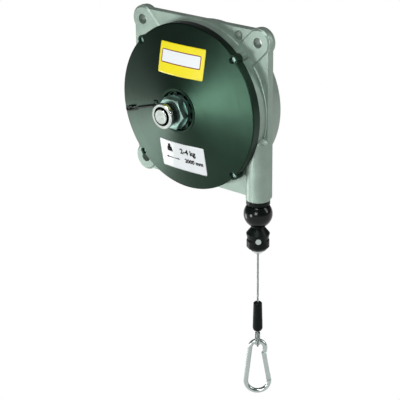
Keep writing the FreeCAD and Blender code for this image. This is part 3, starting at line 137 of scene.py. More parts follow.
class BalancerColours(bpy.types.PropertyGroup):
    """Colours of the finishes."""

    casting: colour("Casting", (0.255, 0.33, 0.285), "Blasted aluminium casting")
    cover: colour("Cover", (0.0165, 0.034, 0.0235), "Turned cover under dark satin lacquer")
    turned: colour("Turned steel", (0.56, 0.62, 0.58), "Arbor and front collar")
    plate: colour("Zinc plate", (0.3, 0.46, 0.41), "Blue-green zinc on the hexagon and the screws")
    hook: colour("Hook plate", (0.44, 0.5, 0.48), "Bright zinc on the hook and the thimble")
    aluminium: colour("Aluminium", (0.6, 0.63, 0.61), "Pressed cone and ferrule")
    blacked: colour("Blacked steel", (0.02, 0.04, 0.032), "Ratchet wheel, pawl and small parts")
    spring: colour("Spring steel", (0.16, 0.18, 0.2), "Main spring and hairpin")
    bronze: colour("Bronze", (0.46, 0.31, 0.14), "Bearing bushes")
    gate_wire: colour("Gate spring", (0.3, 0.32, 0.33), "Wire of the gate's spring")
    moulding: colour("Moulding", (0.003, 0.006, 0.0045), "Black moulded plastic")
    rubber: colour("Rubber", (0.002, 0.004, 0.003), "Black rubber")
    strand: colour("Strand", (0.27, 0.31, 0.3), "Galvanised wire")
    label_ground: colour("Label ground", (0.74, 0.64, 0.004), "Ground of the upper label")
    label_panel: colour("Label panel", (0.68, 0.72, 0.73), "Panel and lower label")
    label_border: colour("Label border", (0.16, 0.002, 0.016), "Thin line round the panel")
    ink: colour("Ink", (0.008, 0.009, 0.009), "Pictograms and numbers")


def sizes():
    return bpy.context.scene.balancer_sizes


def colours():
    return bpy.context.scene.balancer_colours


# ---- materials, written as expressions ----


class Signal:
    """A node's output, used in sums and products as a number would be."""

    def __init__(self, finish, socket):
        self.finish = finish
        self.socket = socket

    def __add__(self, other):
        return self.finish.maths("ADD", self, other)

    def __sub__(self, other):
        return self.finish.maths("SUBTRACT", self, other)

    def __mul__(self, other):
        return self.finish.maths("MULTIPLY", self, other)

    def __truediv__(self, other):
        return self.finish.maths("DIVIDE", self, other)

    def __gt__(self, other):
        return self.finish.maths("GREATER_THAN", self, other)

    def __lt__(self, other):
        return self.finish.maths("LESS_THAN", self, other)

    def __abs__(self):
        return self.finish.maths("ABSOLUTE", self)

    def power(self, other):
        return self.finish.maths("POWER", self, other)

    def sine(self):
        return self.finish.maths("SINE", self)

    def most(self, other):
        return self.finish.maths("MAXIMUM", self, other)


class Finish:
    """A material while its nodes are being laid out."""

    def __init__(self, name, **shader):
        self.material = bpy.data.materials.new(name)
        self.material.use_nodes = True
        self.tree = self.material.node_tree
        self.tree.nodes.clear()
        self.out = self.tree.nodes.new("ShaderNodeOutputMaterial")
        self.shader = self.tree.nodes.new("ShaderNodeBsdfPrincipled")
        self.tree.links.new(self.shader.outputs[0], self.out.inputs["Surface"])
        for socket, setting in shader.items():
            self.set(socket.replace("_", " "), setting)

    def feed(self, socket, setting):
        """Set an input to a number, a colour or another node's output."""
        if isinstance(setting, Signal):
            self.tree.links.new(setting.socket, socket)
        elif hasattr(setting, "__len__") and len(setting) == 3 and socket.type == "RGBA":
            socket.default_value = (*setting, 1.0)
        else:
            socket.default_value = setting

    def set(self, socket, setting):
        self.feed(self.shader.inputs[socket], setting)

    def node(self, kind, settings=None, values=None, output=0):
        """Any node, its own settings first and then its inputs, by name or number."""
        made = self.tree.nodes.new("ShaderNode" + kind)
        for name, setting in (settings or {}).items():
            setattr(made, name, setting)
        for socket, setting in (values or {}).items():
            self.feed(made.inputs[socket], setting)
        return Signal(self, made.outputs[output])

    def maths(self, operation, *terms):
        return self.node("Math", {"operation": operation}, dict(enumerate(terms)))

    def mix(self, amount, first, second):
        """A blend of two colours."""
        settings = {"data_type": "RGBA"}
        return self.node("Mix", settings, {0: amount, 6: first, 7: second}, output=2)

    def spot(self):
        """The place on the piece, in metres."""
        return self.node("TexCoord", output=3)

    def parts(self, vector):
        """The three numbers of a vector."""
        split = self.node("SeparateXYZ", values={0: vector}).socket.node
        return [Signal(self, output) for output in split.outputs]

    def moved(self, origin):
        """The three numbers of the place on the piece, from another origin."""
        settings = {"operation": "SUBTRACT"}
        return self.parts(self.node("VectorMath", settings, {0: self.spot(), 1: tuple(origin)}))

    def noise(self, size, detail=3.0, rough=0.55):
        """Cloudy noise whose features are about as large as size, in metres."""
        values = {"Vector": self.spot(), "Scale": 1.0 / size, "Detail": detail, "Roughness": rough}
        return self.node("TexNoise", values=values)

    def spread(self, signal, low, high, to_low=0.0, to_high=1.0):
        """Stretch a span of a signal over another, held at its ends."""
        return self.node("MapRange", values={0: signal, 1: low, 2: high, 3: to_low, 4: to_high})

    def relief(self, height, depth, under=None):
        """Bump of so many metres for a height from 0 to 1."""
        values = {"Height": height, "Distance": depth, "Strength": 1.0}
        if under is not None:
            values["Normal"] = under
        return self.node("Bump", values=values)

    def turned_normal(self, centre, pitch, slope):
        """A normal that leans in and out from ring to ring, as on a surface from a lathe.

        A small lean sideways, which is the mesh's own at its seam, is taken out.
        """
        x, _, z = self.moved(centre)
        reach = (x * x + z * z).power(0.5)
        values = {"W": reach / pitch, "Scale": 1.0, "Detail": 1.0}
        groove = self.node("TexNoise", {"noise_dimensions": "1D"}, values)
        x, z = x / reach.most(0.001), z / reach.most(0.001)
        lean = (groove - 0.5) * slope
        face_x, face_y, face_z = self.parts(self.node("NewGeometry", output=1))
        drift = face_z * x - face_x * z
        seam_lean = 0.06
        drift = drift * (abs(drift) < seam_lean)
        leaned = self.node(
            "CombineXYZ",
            values={0: face_x + z * drift + x * lean, 1: face_y, 2: face_z - x * drift + z * lean},
        )
        return self.node("VectorMath", {"operation": "NORMALIZE"}, {0: leaned})

    def use(self, *nodes):
        """Put this finish on CAD nodes."""
        for name in nodes:
            NODES[name].data.materials.clear()
            NODES[name].data.materials.append(self.material)
        return self


def shade(base, factor):
    return tuple(min(1.0, part * factor) for part in base)


def casting_finish():
    """Blasted die casting: fine grit, soft clouds of tone and brighter flecks."""
    base = tuple(colours().casting)
    made = Finish("casting", Metallic=0.65)
    clouds = made.noise(0.03, 4.0, 0.6)
    specks = made.noise(0.0007, 2.0, 0.6)
    tone = made.spread(clouds, 0.35, 0.65)
    colour_mix = made.mix(tone, shade(base, 0.88), shade(base, 1.1))
    fleck = made.spread(specks, 0.56, 0.74)
    made.set("Base Color", made.mix(fleck * 0.35, colour_mix, shade(base, 1.35)))
    made.set("Roughness", made.spread(clouds, 0.3, 0.7, 0.36, 0.5) + specks * 0.06)
    grit = made.relief(specks, 0.00006)
    made.set("Normal", made.relief(made.noise(0.011, 2.0), 0.00016, grit))
    return made


def cover_finish():
    """Turned and lacquered cover: rings too fine to see that draw light into a bow."""
    base = tuple(colours().cover)
    made = Finish("cover_lacquer", Metallic=1.0)
    dust = made.noise(0.0006, 2.0, 0.6)
    clouds = made.noise(0.04, 3.0)
    tone = made.spread(clouds, 0.35, 0.65)
    made.set("Base Color", made.mix(tone, shade(base, 0.9), shade(base, 1.12)))
    made.set("Roughness", made.spread(dust, 0.3, 0.7, 0.3, 0.37))
    made.set("Normal", made.turned_normal(SHAFT, 0.0009, 0.16))
    return made


def plated_finish(name, base, rough, turned_about=None, painted_shade_well=None):
    """Bright plate on steel, with faint machining lines and a few dull patches.

    A shaded hole is given as a depth and a reach: what lies deeper and nearer the axis gets painted
    shade, a near-black colour.
    """
    made = Finish(name, Metallic=1.0)
    clouds = made.noise(0.006, 3.0, 0.6)
    dull = made.spread(made.noise(0.0023, 3.0, 0.6), 0.45, 0.72)
    paint = made.mix(dull * 0.5, base, shade(base, 0.72))
    if turned_about is not None:
        x, y, z = made.moved(turned_about)
        reach = (x * x + z * z).power(0.5)
    if painted_shade_well is not None:
        depth, mouth = painted_shade_well
        # painted shade: near-black where the hole lies deeper than the depth and inside the reach
        paint = made.mix((y > depth) * (reach < mouth), paint, (0.008, 0.014, 0.011))
    made.set("Base Color", paint)
    made.set("Roughness", made.spread(clouds, 0.3, 0.7, rough * 0.75, rough * 1.35) + dull * 0.06)
    if turned_about is not None:
        lines = ((reach + y) * (2 * math.pi / 0.00022)).sine() * 0.5 + 0.5
        made.set("Normal", made.relief(lines, 0.000006))
    else:
        made.set("Normal", made.relief(made.noise(0.0009, 2.0), 0.00001))
    return made


def moulded_finish(name, base, rough, grain=0.0004, depth=0.00001, coat=0.0):
    """Moulded plastic or rubber with a faint skin."""
    made = Finish(name, Coat_Weight=coat, Coat_Roughness=0.12, Specular_IOR_Level=0.1)
    skin = made.noise(grain, 2.0, 0.6)
    wear = made.spread(made.noise(0.004, 4.0, 0.65), 0.5, 0.75)
    made.set("Base Color", made.mix(wear * 0.5, base, tuple(part * 1.6 + 0.003 for part in base)))
    made.set("Roughness", made.spread(skin, 0.3, 0.7, rough * 0.85, rough * 1.15) + wear * 0.08)
    made.set("Normal", made.relief(skin, depth))
    return made


def strand_finish():
    """Galvanised wire: every strand lined with its own fine wires."""
    base = tuple(colours().strand)
    made = Finish("galvanised_strand", Metallic=0.9)
    grain = made.noise(0.0005, 2.0, 0.6)
    made.set("Base Color", made.mix(grain, shade(base, 0.55), shade(base, 1.25)))
    made.set("Roughness", made.spread(grain, 0.3, 0.7, 0.3, 0.5))
    made.set("Normal", made.relief(made.noise(0.0003, 1.0), 0.00002))
    return made


def label_finish(name, centre, ground, panel=None, border=None):
    """Printed foil. The upper label has a bare panel inside a thin line."""
    made = Finish(name, Coat_Weight=0.5, Coat_Roughness=0.15, Roughness=0.42)
    tint = made.spread(made.noise(0.015, 3.0), 0.3, 0.7)
    paint = made.mix(tint, shade(ground, 0.95), ground)
    if panel is not None:
        own = sizes()
        x, _, z = made.moved(centre)
        inset_x = (abs(x) - (own.panel_wide / 2 - own.panel_round)).most(0.0)
        inset_z = (abs(z - own.panel_rise) - (own.panel_high / 2 - own.panel_round)).most(0.0)
        off = (inset_x * inset_x + inset_z * inset_z).power(0.5) - own.panel_round
        paint = made.mix(off < 0.0, paint, border)
        paint = made.mix(off < -own.panel_line, paint, panel)
    made.set("Base Color", paint)
    made.set("Normal", made.relief(made.noise(0.0008, 1.0), 0.000004))
    return made


# ---- mesh helpers ----


def mesh_piece(name, points, faces, finish, smooth=True):
    """A mesh object at the world's origin, from points in metres."""
    mesh = bpy.data.meshes.new(name)
    mesh.from_pydata([tuple(point) for point in points], [], faces)
    mesh.validate()
    mesh.polygons.foreach_set("use_smooth", [smooth] * len(mesh.polygons))
    mesh.materials.append(finish.material)
    made = bpy.data.objects.new(name, mesh)
    bpy.context.scene.collection.objects.link(made)
    return made


def applied(name, source, finish):
    """A plain mesh of an object with its modifiers carried out, in the object's stead."""
    bpy.context.view_layer.update()
    seen = source.evaluated_get(bpy.context.evaluated_depsgraph_get())
    mesh = bpy.data.meshes.new_from_object(seen)
    mesh.name = name
    if not mesh.materials:
        mesh.materials.append(finish.material)
    mesh.polygons.foreach_set("use_smooth", [True] * len(mesh.polygons))
    made = bpy.data.objects.new(name, mesh)
    bpy.context.scene.collection.objects.link(made)
    bpy.data.objects.remove(source)
    return made


def route_curve(name, route, steps=12):
    """A smooth spline with the route's points as its control points."""
    curve = bpy.data.curves.new(name, "CURVE")
    curve.dimensions = "3D"
    spline = curve.splines.new("NURBS")
    spline.points.add(len(route) - 1)
    for knot, place in zip(spline.points, route):
        knot.co = (*place, 1.0)
    spline.order_u = 3
    spline.use_endpoint_u = True
    spline.resolution_u = steps
    made = bpy.data.objects.new(name, curve)
    bpy.context.scene.collection.objects.link(made)
    return made


def line_of(source):
    """The points that a route's spline goes through, as its mesh gives them."""
    bpy.context.view_layer.update()
    seen = source.evaluated_get(bpy.context.evaluated_depsgraph_get())
    mesh = bpy.data.meshes.new_from_object(seen)
    points = [vertex.co.copy() for vertex in mesh.vertices]
    bpy.data.meshes.remove(mesh)
    return points


class Nodes:
    """A Geometry Nodes tree while it is being laid out."""

    def __init__(self, name, inputs):
        self.tree = bpy.data.node_groups.new(name, "GeometryNodeTree")
        face = self.tree.interface
        face.new_socket("Geometry", in_out="INPUT", socket_type="NodeSocketGeometry")
        for label, kind, default in inputs:
            made = face.new_socket(label, in_out="INPUT", socket_type="NodeSocket" + kind)
            made.default_value = default
        face.new_socket("Geometry", in_out="OUTPUT", socket_type="NodeSocketGeometry")
        self.entry = self.tree.nodes.new("NodeGroupInput")
        self.exit = self.tree.nodes.new("NodeGroupOutput")

    def given(self, label):
        return self.entry.outputs[label]

    def node(self, kind, settings=None, values=None):
        """Any node, its own settings first and then its inputs, by name or number."""
        made = self.tree.nodes.new(kind)
        for name, setting in (settings or {}).items():
            setattr(made, name, setting)
        for socket, setting in (values or {}).items():
            if isinstance(setting, bpy.types.NodeSocket):
                self.tree.links.new(setting, made.inputs[socket])
            else:
                made.inputs[socket].default_value = setting
        return made

    def maths(self, operation, *terms):
        made = self.node("ShaderNodeMath", {"operation": operation}, dict(enumerate(terms)))
        return made.outputs[0]

    def finish(self, geometry, material):
        """Realise what was repeated, give it its material and close the tree."""
        real = self.node("GeometryNodeRealizeInstances", values={"Geometry": geometry})
        painted = self.node(
            "GeometryNodeSetMaterial", values={"Geometry": real.outputs[0], "Material": material}
        )
        self.tree.links.new(painted.outputs[0], self.exit.inputs[0])

    def apply_to(self, obj, **given):
        """Add this tree to an object as a modifier, its inputs set by their identifiers."""
        modifier = obj.modifiers.new(self.tree.name, "NODES")
        modifier.node_group = self.tree
        for item in self.tree.interface.items_tree:
            if item.in_out == "INPUT" and item.name in given:
                modifier[item.identifier] = given[item.name]
        return obj


# ---- cable ----


def rope_nodes(material):
    """Strands laid round a core strand, along whatever curve the tree is given."""
    made = Nodes(
        "rope",
        [
            ("Strands", "Int", 6),
            ("Diameter", "Float", 0.002),
            ("Lay", "Float", 0.012),
            ("Step", "Float", 0.0004),
        ],
    )
    strand = made.maths("DIVIDE", made.given("Diameter"), 6.0)
    ring = made.maths("MULTIPLY", strand, 2.0)
    along = made.node(
        "GeometryNodeResampleCurve",
        {"mode": "LENGTH"},
        {"Curve": made.given("Geometry"), "Length": made.given("Step")},
    )
    run = made.node("GeometryNodeSplineParameter").outputs["Length"]
    turn = made.maths("MULTIPLY", made.maths("DIVIDE", run, made.given("Lay")), 2 * math.pi)
    twisted = made.node(
        "GeometryNodeSetCurveTilt", values={"Curve": along.outputs[0], "Tilt": turn}
    )
    section = made.node(
        "GeometryNodeCurvePrimitiveCircle", values={"Resolution": 8, "Radius": strand}
    )
    places = made.node(
        "GeometryNodeMeshCircle",
        {"fill_type": "NONE"},
        {"Vertices": made.given("Strands"), "Radius": ring},
    )
    round_core = made.node(
        "GeometryNodeInstanceOnPoints",
        values={"Points": places.outputs[0], "Instance": section.outputs[0]},
    )
    sections = made.node("GeometryNodeJoinGeometry")
    for part in (round_core, section):
        made.tree.links.new(part.outputs[0], sections.inputs[0])
    profile = made.node("GeometryNodeRealizeInstances", values={"Geometry": sections.outputs[0]})
    values = {"Curve": twisted.outputs[0], "Profile Curve": profile.outputs[0], "Fill Caps": True}
    swept = made.node("GeometryNodeCurveToMesh", values=values)
    made.finish(swept.outputs[0], material)
    return made


def rope_along(name, route, finish, diameter):
    """A stranded rope that follows a route, and the points of its line."""
    source = route_curve(name + "_route", route)
    line = line_of(source)
    rope_nodes(finish.material).apply_to(
        source,
        Strands=sizes().strand_count,
        Diameter=diameter,
        Lay=sizes().rope_lay,
        Step=0.0005,
    )
    return applied(name, source, finish), line


def in_hook_plane(across, through, height):
    """A place from the hook's own directions: across it, through it and up."""
    turned = Matrix.Rotation(HOOK_YAW, 3, "Z") @ Vector((across, through, 0))
    return Vector((CABLE.x + turned.x, CABLE.y + turned.y, height))


class BALANCER_OT_cable(bpy.types.Operator):
    """Lay the stranded cable below the guide, with the eye at its end"""

    bl_idname = "balancer.cable"
    bl_label = "Cable"

    def execute(self, context):
        strands = strand_finish()
        strands.use("cable_lead", "cable_winding")
        top, end = high_of("cable_run").z, low_of("cable_run").z
        diameter = sizes().rope_diameter
        drops = [0.0, 0.07, 0.2, 0.4, 0.6, 0.8, 1.0]
        route = [(CABLE.x, CABLE.y, top + (end - top) * drop) for drop in drops]
        rope, line = rope_along("rope", route, strands, diameter)
        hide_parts("cable_run")
        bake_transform(rope)

        # the eye: down one side from the ferrule, round the thimble and back up the other
        eye_high = low_of("crimp_ferrule").z
        radius, below_centre, inside_its_corners = 0.0063, 0.0053, 0.9255
        centre = low_of("thimble").z + below_centre
        reach = radius / inside_its_corners
        side = [(0.0016, eye_high - 0.0002), (0.0036, eye_high - 0.0044)]
        loop = list(side)
        for turn in range(22, -203, -45):
            angle = math.radians(turn)
            loop.append((reach * math.cos(angle), centre + reach * math.sin(angle)))
        loop += [(-across, height) for across, height in reversed(side)]
        eye_route = [in_hook_plane(0, through, height) for through, height in loop]
        eye, _ = rope_along("rope_eye", eye_route, strands, diameter)
        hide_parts("cable_eye")
        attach(eye, "hook_line")
        return {"FINISHED"}


# ---- finishes of the CAD nodes ----


class BALANCER_OT_castings(bpy.types.Operator):
    """Finish the casting and its cover"""

    bl_idname = "balancer.castings"
    bl_label = "Castings"

    def execute(self, context):
        casting_finish().use("housing", "drum")
        cover_finish().use("front_cover")
        return {"FINISHED"}


class BALANCER_OT_hub(bpy.types.Operator):
    """Finish the arbor, the ratchet, the tension hexagon and the release lever"""

    bl_idname = "balancer.hub"
    bl_label = "Hub"

    def execute(self, context):
        own = colours()
        # painted shade: past the collar's front by the lip and inside the mouth, the turned steel
        # is painted near-black
        lip, mouth = 0.0007, 0.0099
        painted_shade_well = (low_of("front_collar").y + lip - SHAFT.y, mouth)
        steel = plated_finish("turned_steel", tuple(own.turned), 0.2, turned_about=SHAFT, painted_shade_well=painted_shade_well)
        steel.use("arbor", "front_collar")
        plated_finish("zinc_plate", tuple(own.plate), 0.4).use(
            "tension_hexagon", "cover_screws", "lid_screws", "drum_lid"
        )
        plated_finish("black_steel", tuple(own.blacked), 0.4).use(
            "ratchet_wheel", "pawl", "pawl_pin", "arbor_key", "thrust_washer", "circlip"
        )
        plated_finish("spring_steel", tuple(own.spring), 0.3).use("main_spring", "pawl_spring")
        plated_finish("bearing_bronze", tuple(own.bronze), 0.35).use(
            "rear_bush", "front_bush", "drum_bush_rear", "drum_bush_front"
        )
        black = tuple(own.moulding)
        moulded_finish("neck_moulding", black, 0.4).use("neck_sleeve")
        moulded_finish("lever_coating", black, 0.34).use("release_lever")
        # the hairpin: a whole copy of the pawl's spring takes its place
        pin, resting = middle("pawl_pin"), NODES["pawl_spring"]
        spring = bpy.data.objects.new("pawl_hairpin", resting.data.copy())
        spring.matrix_world = resting.matrix_world
        context.scene.collection.objects.link(spring)
        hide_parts("pawl_spring")
        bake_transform(spring)
        return {"FINISHED"}


class BALANCER_OT_line(bpy.types.Operator):
    """Finish the guide, the ball, the stop, the sleeve and the snap hook"""

    bl_idname = "balancer.line"
    bl_label = "Line"

    def execute(self, context):
        own = colours()
        black = tuple(own.moulding)
        moulded_finish("guide_moulding", black, 0.35).use("cable_guide", "stop_clamp")
        moulded_finish("ball_rubber", tuple(own.rubber), 0.2, coat=0.25).use("buffer_ball")
        moulded_finish("sleeve_moulding", black, 0.42).use("cable_sleeve")
        plated_finish("hook_plate", tuple(own.hook), 0.2).use(
            "snap_hook", "hook_gate", "gate_pin", "thimble", "clamp_screw"
        )
        plated_finish("pressed_aluminium", tuple(own.aluminium), 0.3).use(
            "clamp_cone", "crimp_ferrule"
        )
        plated_finish("gate_wire", tuple(own.gate_wire), 0.3).use("gate_spring")
        return {"FINISHED"}


# ---- labels ----


def cover_surface():
    """What finds the cover's front at a place across and up from the shaft."""
    tree = BVHTree.FromObject(NODES["front_cover"], bpy.context.evaluated_depsgraph_get())
    ahead = low_of("front_collar").y - 0.05

    def front(across, up):
        start = Vector((SHAFT.x + across, ahead, SHAFT.z + up))
        hit, normal, _, _ = tree.ray_cast(start, Vector((0, 1, 0)))
        return hit, normal

    return front


def on_cover(points, front, lift):
    """Places on the cover, lifted off it, for flat points from the shaft."""
    placed = []
    for across, up in points:
        hit, _ = front(across, up)
        placed.append(Vector((hit.x, hit.y - lift, hit.z)))
    return placed


def foil(name, centre_up, finish, front):
    """A label that bends with the cover: a grid of rows inside a round-cornered edge."""
    own = sizes()
    wide, high, corner = own.label_wide, own.label_high, own.label_round
    across, rows = 40, 22
    points, faces = [], []
    for j in range(rows + 1):
        up = high * (j / rows - 0.5)
        over = max(0.0, abs(up) - (high / 2 - corner))
        half = wide / 2 - corner + math.sqrt(max(0.0, corner**2 - over**2))
        for i in range(across + 1):
            points.append((half * (2 * i / across - 1), up + centre_up))
    top = on_cover(points, front, own.label_thick)
    count = len(top)
    under = [point + Vector((0, own.label_thick * 1.6, 0)) for point in top]
    row = across + 1
    for j in range(rows):
        for i in range(across):
            a = j * row + i
            faces.append((a, a + 1, a + row + 1, a + row))
            faces.append((count + a, count + a + row, count + a + row + 1, count + a + 1))
    edge = list(range(row))
    edge += [j * row + across for j in range(1, rows + 1)]
    edge += [rows * row + i for i in range(across - 1, -1, -1)]
    edge += [j * row for j in range(rows - 1, 0, -1)]
    for a, b in zip(edge, edge[1:] + edge[:1]):
        faces.append((a, count + a, count + b, b))
    made = mesh_piece(name, top + under, faces, finish)
    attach(made, "housing")
    return made


def flat_shape(outline):
    """A filled shape from one outline, for the labels' pictograms."""
    return outline, [tuple(range(len(outline)))]


def written(text, size, left, base):
    """Plain figures as flat faces, from the built-in typeface."""
    curve = bpy.data.curves.new("figures", "FONT")
    curve.body = text
    curve.size = size
    curve.resolution_u = 3
    curve.offset = size * 0.03
    holder = bpy.data.objects.new("figures", curve)
    bpy.context.scene.collection.objects.link(holder)
    bpy.context.view_layer.update()
    seen = holder.evaluated_get(bpy.context.evaluated_depsgraph_get())
    mesh = bpy.data.meshes.new_from_object(seen)
    points = [(vertex.co.x + left, vertex.co.y + base) for vertex in mesh.vertices]
    faces = [tuple(polygon.vertices) for polygon in mesh.polygons]
    bpy.data.objects.remove(holder)
    bpy.data.meshes.remove(mesh)
    return points, faces


def weight_sign(left, base, high):
    """A scale weight: a tapered block under a ring handle."""
    body_high = high * 0.62
    body = [(0, 0), (0.9, 0), (0.78, 1), (0.12, 1)]
    block = [(left + x * high * 0.95, base + z * body_high) for x, z in body]
    middle_x = left + 0.45 * high * 0.95
    knob = [
        (
            middle_x + high * 0.2 * math.cos(2 * math.pi * i / 16),
            base + high * 0.8 + high * 0.2 * math.sin(2 * math.pi * i / 16),
        )
        for i in range(16)
    ]
    return [flat_shape(block), flat_shape(knob)]


def travel_sign(left, right, base, thick, head):
    """A line with a head at each end."""
    bar = [(left, -thick / 2), (right, -thick / 2), (right, thick / 2), (left, thick / 2)]
    shapes = [flat_shape([(x, base + z) for x, z in bar])]
    for tip, way in ((left - head, 1), (right + head, -1)):
        corners = [(0, 0), (way * head * 1.6, -head * 0.6), (way * head * 1.6, head * 0.6)]
        corners = corners if way > 0 else corners[::-1]
        shapes.append(flat_shape([(tip + x, base + z) for x, z in corners]))
    return shapes


class BALANCER_OT_labels(bpy.types.Operator):
    """Stick the two labels on the cover and print the lower one"""

    bl_idname = "balancer.labels"
    bl_label = "Labels"

    def execute(self, context):
        front = cover_surface()
        own, tints = sizes(), colours()
        upper, lower = own.upper_label, own.lower_label
        ground = label_finish(
            "label_upper",
            SHAFT + Vector((-0.0007, 0, upper)),
            tuple(tints.label_ground),
            tuple(tints.label_panel),
            tuple(tints.label_border),
        )
        foil("label_upper", upper, ground, front)
        plain = label_finish("label_lower", SHAFT, tuple(tints.label_panel))
        foil("label_lower", lower, plain, front)
        shapes = [written("2-4 kg", size=0.0078, left=-0.0015, base=lower + 0.0042)]
        shapes.append(written("2000 mm", size=0.006, left=0.0032, base=lower - 0.0052))
        shapes += weight_sign(left=-0.0195, base=lower + 0.0035, high=0.0085)
        shapes += travel_sign(-0.0205, -0.0055, base=lower - 0.0036, thick=0.0007, head=0.0018)
        points, faces = [], []
        for flat, corners in shapes:
            faces += [tuple(index + len(points) for index in corner) for corner in corners]
            points += flat
        ink = moulded_finish("ink", tuple(tints.ink), 0.5)
        raised = on_cover(points, front, own.label_thick + own.ink_lift)
        marks = mesh_piece("label_marks", raised, faces, ink, smooth=False)
        thicken = marks.modifiers.new("ink", "SOLIDIFY")
        thicken.thickness = own.ink_thick
        thicken.offset = 0.0
        marks = applied("label_marks", marks, ink)
        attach(marks, "housing")
        return {"FINISHED"}


# ---- stage ----

CAMERA_TARGET = Vector((-0.07671, -0.00425, -0.18212))
CAMERA_AZIMUTH, CAMERA_ELEVATION, CAMERA_ROLL = 40.506, 21.594, -0.665
CAMERA_DISTANCE, CAMERA_LENS = 1.5328, 132.39


def away(azimuth, elevation):
    """The direction of a camera or lamp, seen from the object."""
    a, e = math.radians(azimuth), math.radians(elevation)
    return Vector((math.sin(a) * math.cos(e), -math.cos(a) * math.cos(e), math.sin(e)))


def facing(back, roll=0.0):
    """A turn whose local Z points back at the viewer."""
    right = Vector((0, 0, 1)).cross(back).normalized()
    up = back.cross(right)
    turn = math.radians(roll)
    right, up = (
        right * math.cos(turn) + up * math.sin(turn),
        up * math.cos(turn) - right * math.sin(turn),
    )
    return Matrix((right, up, back)).transposed()


def lamp(name, azimuth, elevation, distance, wide, power, high=None):
    """A soft rectangular lamp that faces the object."""
    light = bpy.data.lights.new(name, "AREA")
    light.shape = "RECTANGLE"
    light.size, light.size_y = wide, high or wide
    light.energy = power
    made = bpy.data.objects.new(name, light)
    back = away(azimuth, elevation)
    made.matrix_world = Matrix.Translation(SHAFT + back * distance) @ facing(back).to_4x4()
    bpy.context.scene.collection.objects.link(made)
    return made


def backdrop_finish(name, ground):
    """White where the camera or a reflection sees it, and plain where it lights."""
    made = Finish(name, Roughness=0.9)
    made.set("Base Color", ground)
    path = made.node("LightPath").socket.node
    seen = Signal(made, path.outputs["Is Camera Ray"])
    seen = seen.most(Signal(made, path.outputs["Is Glossy Ray"]))
    seen = seen.most(Signal(made, path.outputs["Is Transmission Ray"]))
    glow = made.tree.nodes.new("ShaderNodeEmission")
    glow.inputs["Color"].default_value = (1, 1, 1, 1)
    glow.inputs["Strength"].default_value = 1.0
    both = made.tree.nodes.new("ShaderNodeMixShader")
    made.feed(both.inputs[0], seen)
    made.tree.links.new(made.shader.outputs[0], both.inputs[1])
    made.tree.links.new(glow.outputs[0], both.inputs[2])
    made.tree.links.new(both.outputs[0], made.out.inputs["Surface"])
    return made


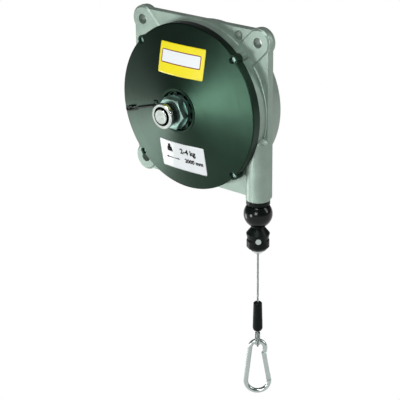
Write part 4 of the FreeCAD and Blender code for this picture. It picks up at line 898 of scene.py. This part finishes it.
class BALANCER_OT_stage(bpy.types.Operator):
    """Set the floor, the lamps, the world and the camera"""

    bl_idname = "balancer.stage"
    bl_label = "Stage"

    def execute(self, context):
        scene = context.scene
        scene.view_settings.view_transform = "Standard"
        # below the hook with all of the cable pulled out
        floor_gap, reach = 0.12, 28.0
        floor_level = CAD_BOX[0][2] - sizes().cable_out - floor_gap
        corners = [(-reach, -reach), (reach, -reach), (reach, reach), (-reach, reach)]
        floor = mesh_piece(
            "floor",
            [(x, y, floor_level) for x, y in corners],
            [(0, 1, 2, 3)],
            backdrop_finish("floor_paper", (0.85, 0.86, 0.86)),
        )
        floor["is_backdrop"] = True
        world = bpy.data.worlds.new("studio")
        scene.world = world
        world.use_nodes = True
        tree = world.node_tree
        tree.nodes.clear()
        out = tree.nodes.new("ShaderNodeOutputWorld")
        path = tree.nodes.new("ShaderNodeLightPath")
        dim, white = (tree.nodes.new("ShaderNodeBackground") for _ in range(2))
        dim.inputs["Color"].default_value = (1, 1, 1, 1)
        dim.inputs["Strength"].default_value = 0.14
        white.inputs["Strength"].default_value = 1.0
        white.inputs["Color"].default_value = (1, 1, 1, 1)
        both = tree.nodes.new("ShaderNodeMixShader")
        tree.links.new(path.outputs["Is Camera Ray"], both.inputs[0])
        tree.links.new(dim.outputs[0], both.inputs[1])
        tree.links.new(white.outputs[0], both.inputs[2])
        tree.links.new(both.outputs[0], out.inputs[0])
        lamp("key", azimuth=22, elevation=14, distance=2.2, wide=0.7, power=22)
        lamp("top", azimuth=20, elevation=60, distance=2.2, wide=0.8, power=24)
        lamp("rim", azimuth=118, elevation=25, distance=2.0, wide=0.5, power=14, high=1.4)
        # these two stand where the cover's cone throws their light to the camera
        lamp("front", azimuth=-15, elevation=-9, distance=1.2, wide=0.3, power=6)
        lamp("low", azimuth=-70, elevation=-30, distance=0.75, wide=0.26, power=1.4)
        camera = bpy.data.objects.new("camera", bpy.data.cameras.new("camera"))
        camera.data.lens = CAMERA_LENS
        camera.data.sensor_width = 36.0
        camera.data.clip_end = 100.0
        back = away(CAMERA_AZIMUTH, CAMERA_ELEVATION)
        placed = Matrix.Translation(CAMERA_TARGET + back * CAMERA_DISTANCE)
        camera.matrix_world = placed @ facing(back, CAMERA_ROLL).to_4x4()
        scene.collection.objects.link(camera)
        scene.camera = camera
        return {"FINISHED"}


# ---- the panel, and what is run ----

STEPS = (
    BALANCER_OT_cable,
    BALANCER_OT_castings,
    BALANCER_OT_hub,
    BALANCER_OT_line,
    BALANCER_OT_labels,
    BALANCER_OT_stage,
)


class BALANCER_PT_panel(bpy.types.Panel):
    """The balancer's sizes, colours and steps"""

    bl_idname = "BALANCER_PT_panel"
    bl_label = "Tool balancer"
    bl_space_type = "VIEW_3D"
    bl_region_type = "UI"
    bl_category = "Balancer"

    def draw(self, context):
        for group in (context.scene.balancer_sizes, context.scene.balancer_colours):
            for name in group.__annotations__:
                self.layout.prop(group, name)
        for step in STEPS:
            self.layout.operator(step.bl_idname)


CLASSES = (BalancerSizes, BalancerColours, *STEPS, BALANCER_PT_panel)


def register():
    for one in CLASSES:
        bpy.utils.register_class(one)
    bpy.types.Scene.balancer_sizes = PointerProperty(type=BalancerSizes)
    bpy.types.Scene.balancer_colours = PointerProperty(type=BalancerColours)


def unregister():
    del bpy.types.Scene.balancer_colours
    del bpy.types.Scene.balancer_sizes
    for one in reversed(CLASSES):
        bpy.utils.unregister_class(one)


def main():
    register()
    bpy.ops.balancer.cable()
    bpy.ops.balancer.castings()
    bpy.ops.balancer.hub()
    bpy.ops.balancer.line()
    bpy.ops.balancer.labels()
    bpy.ops.balancer.stage()
    boxes = {"cad": CAD_BOX, "visual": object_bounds()}
    for name, box in boxes.items():
        boxes[name] = [[float(part) for part in corner] for corner in box]


if __name__ == "__main__":
    main()
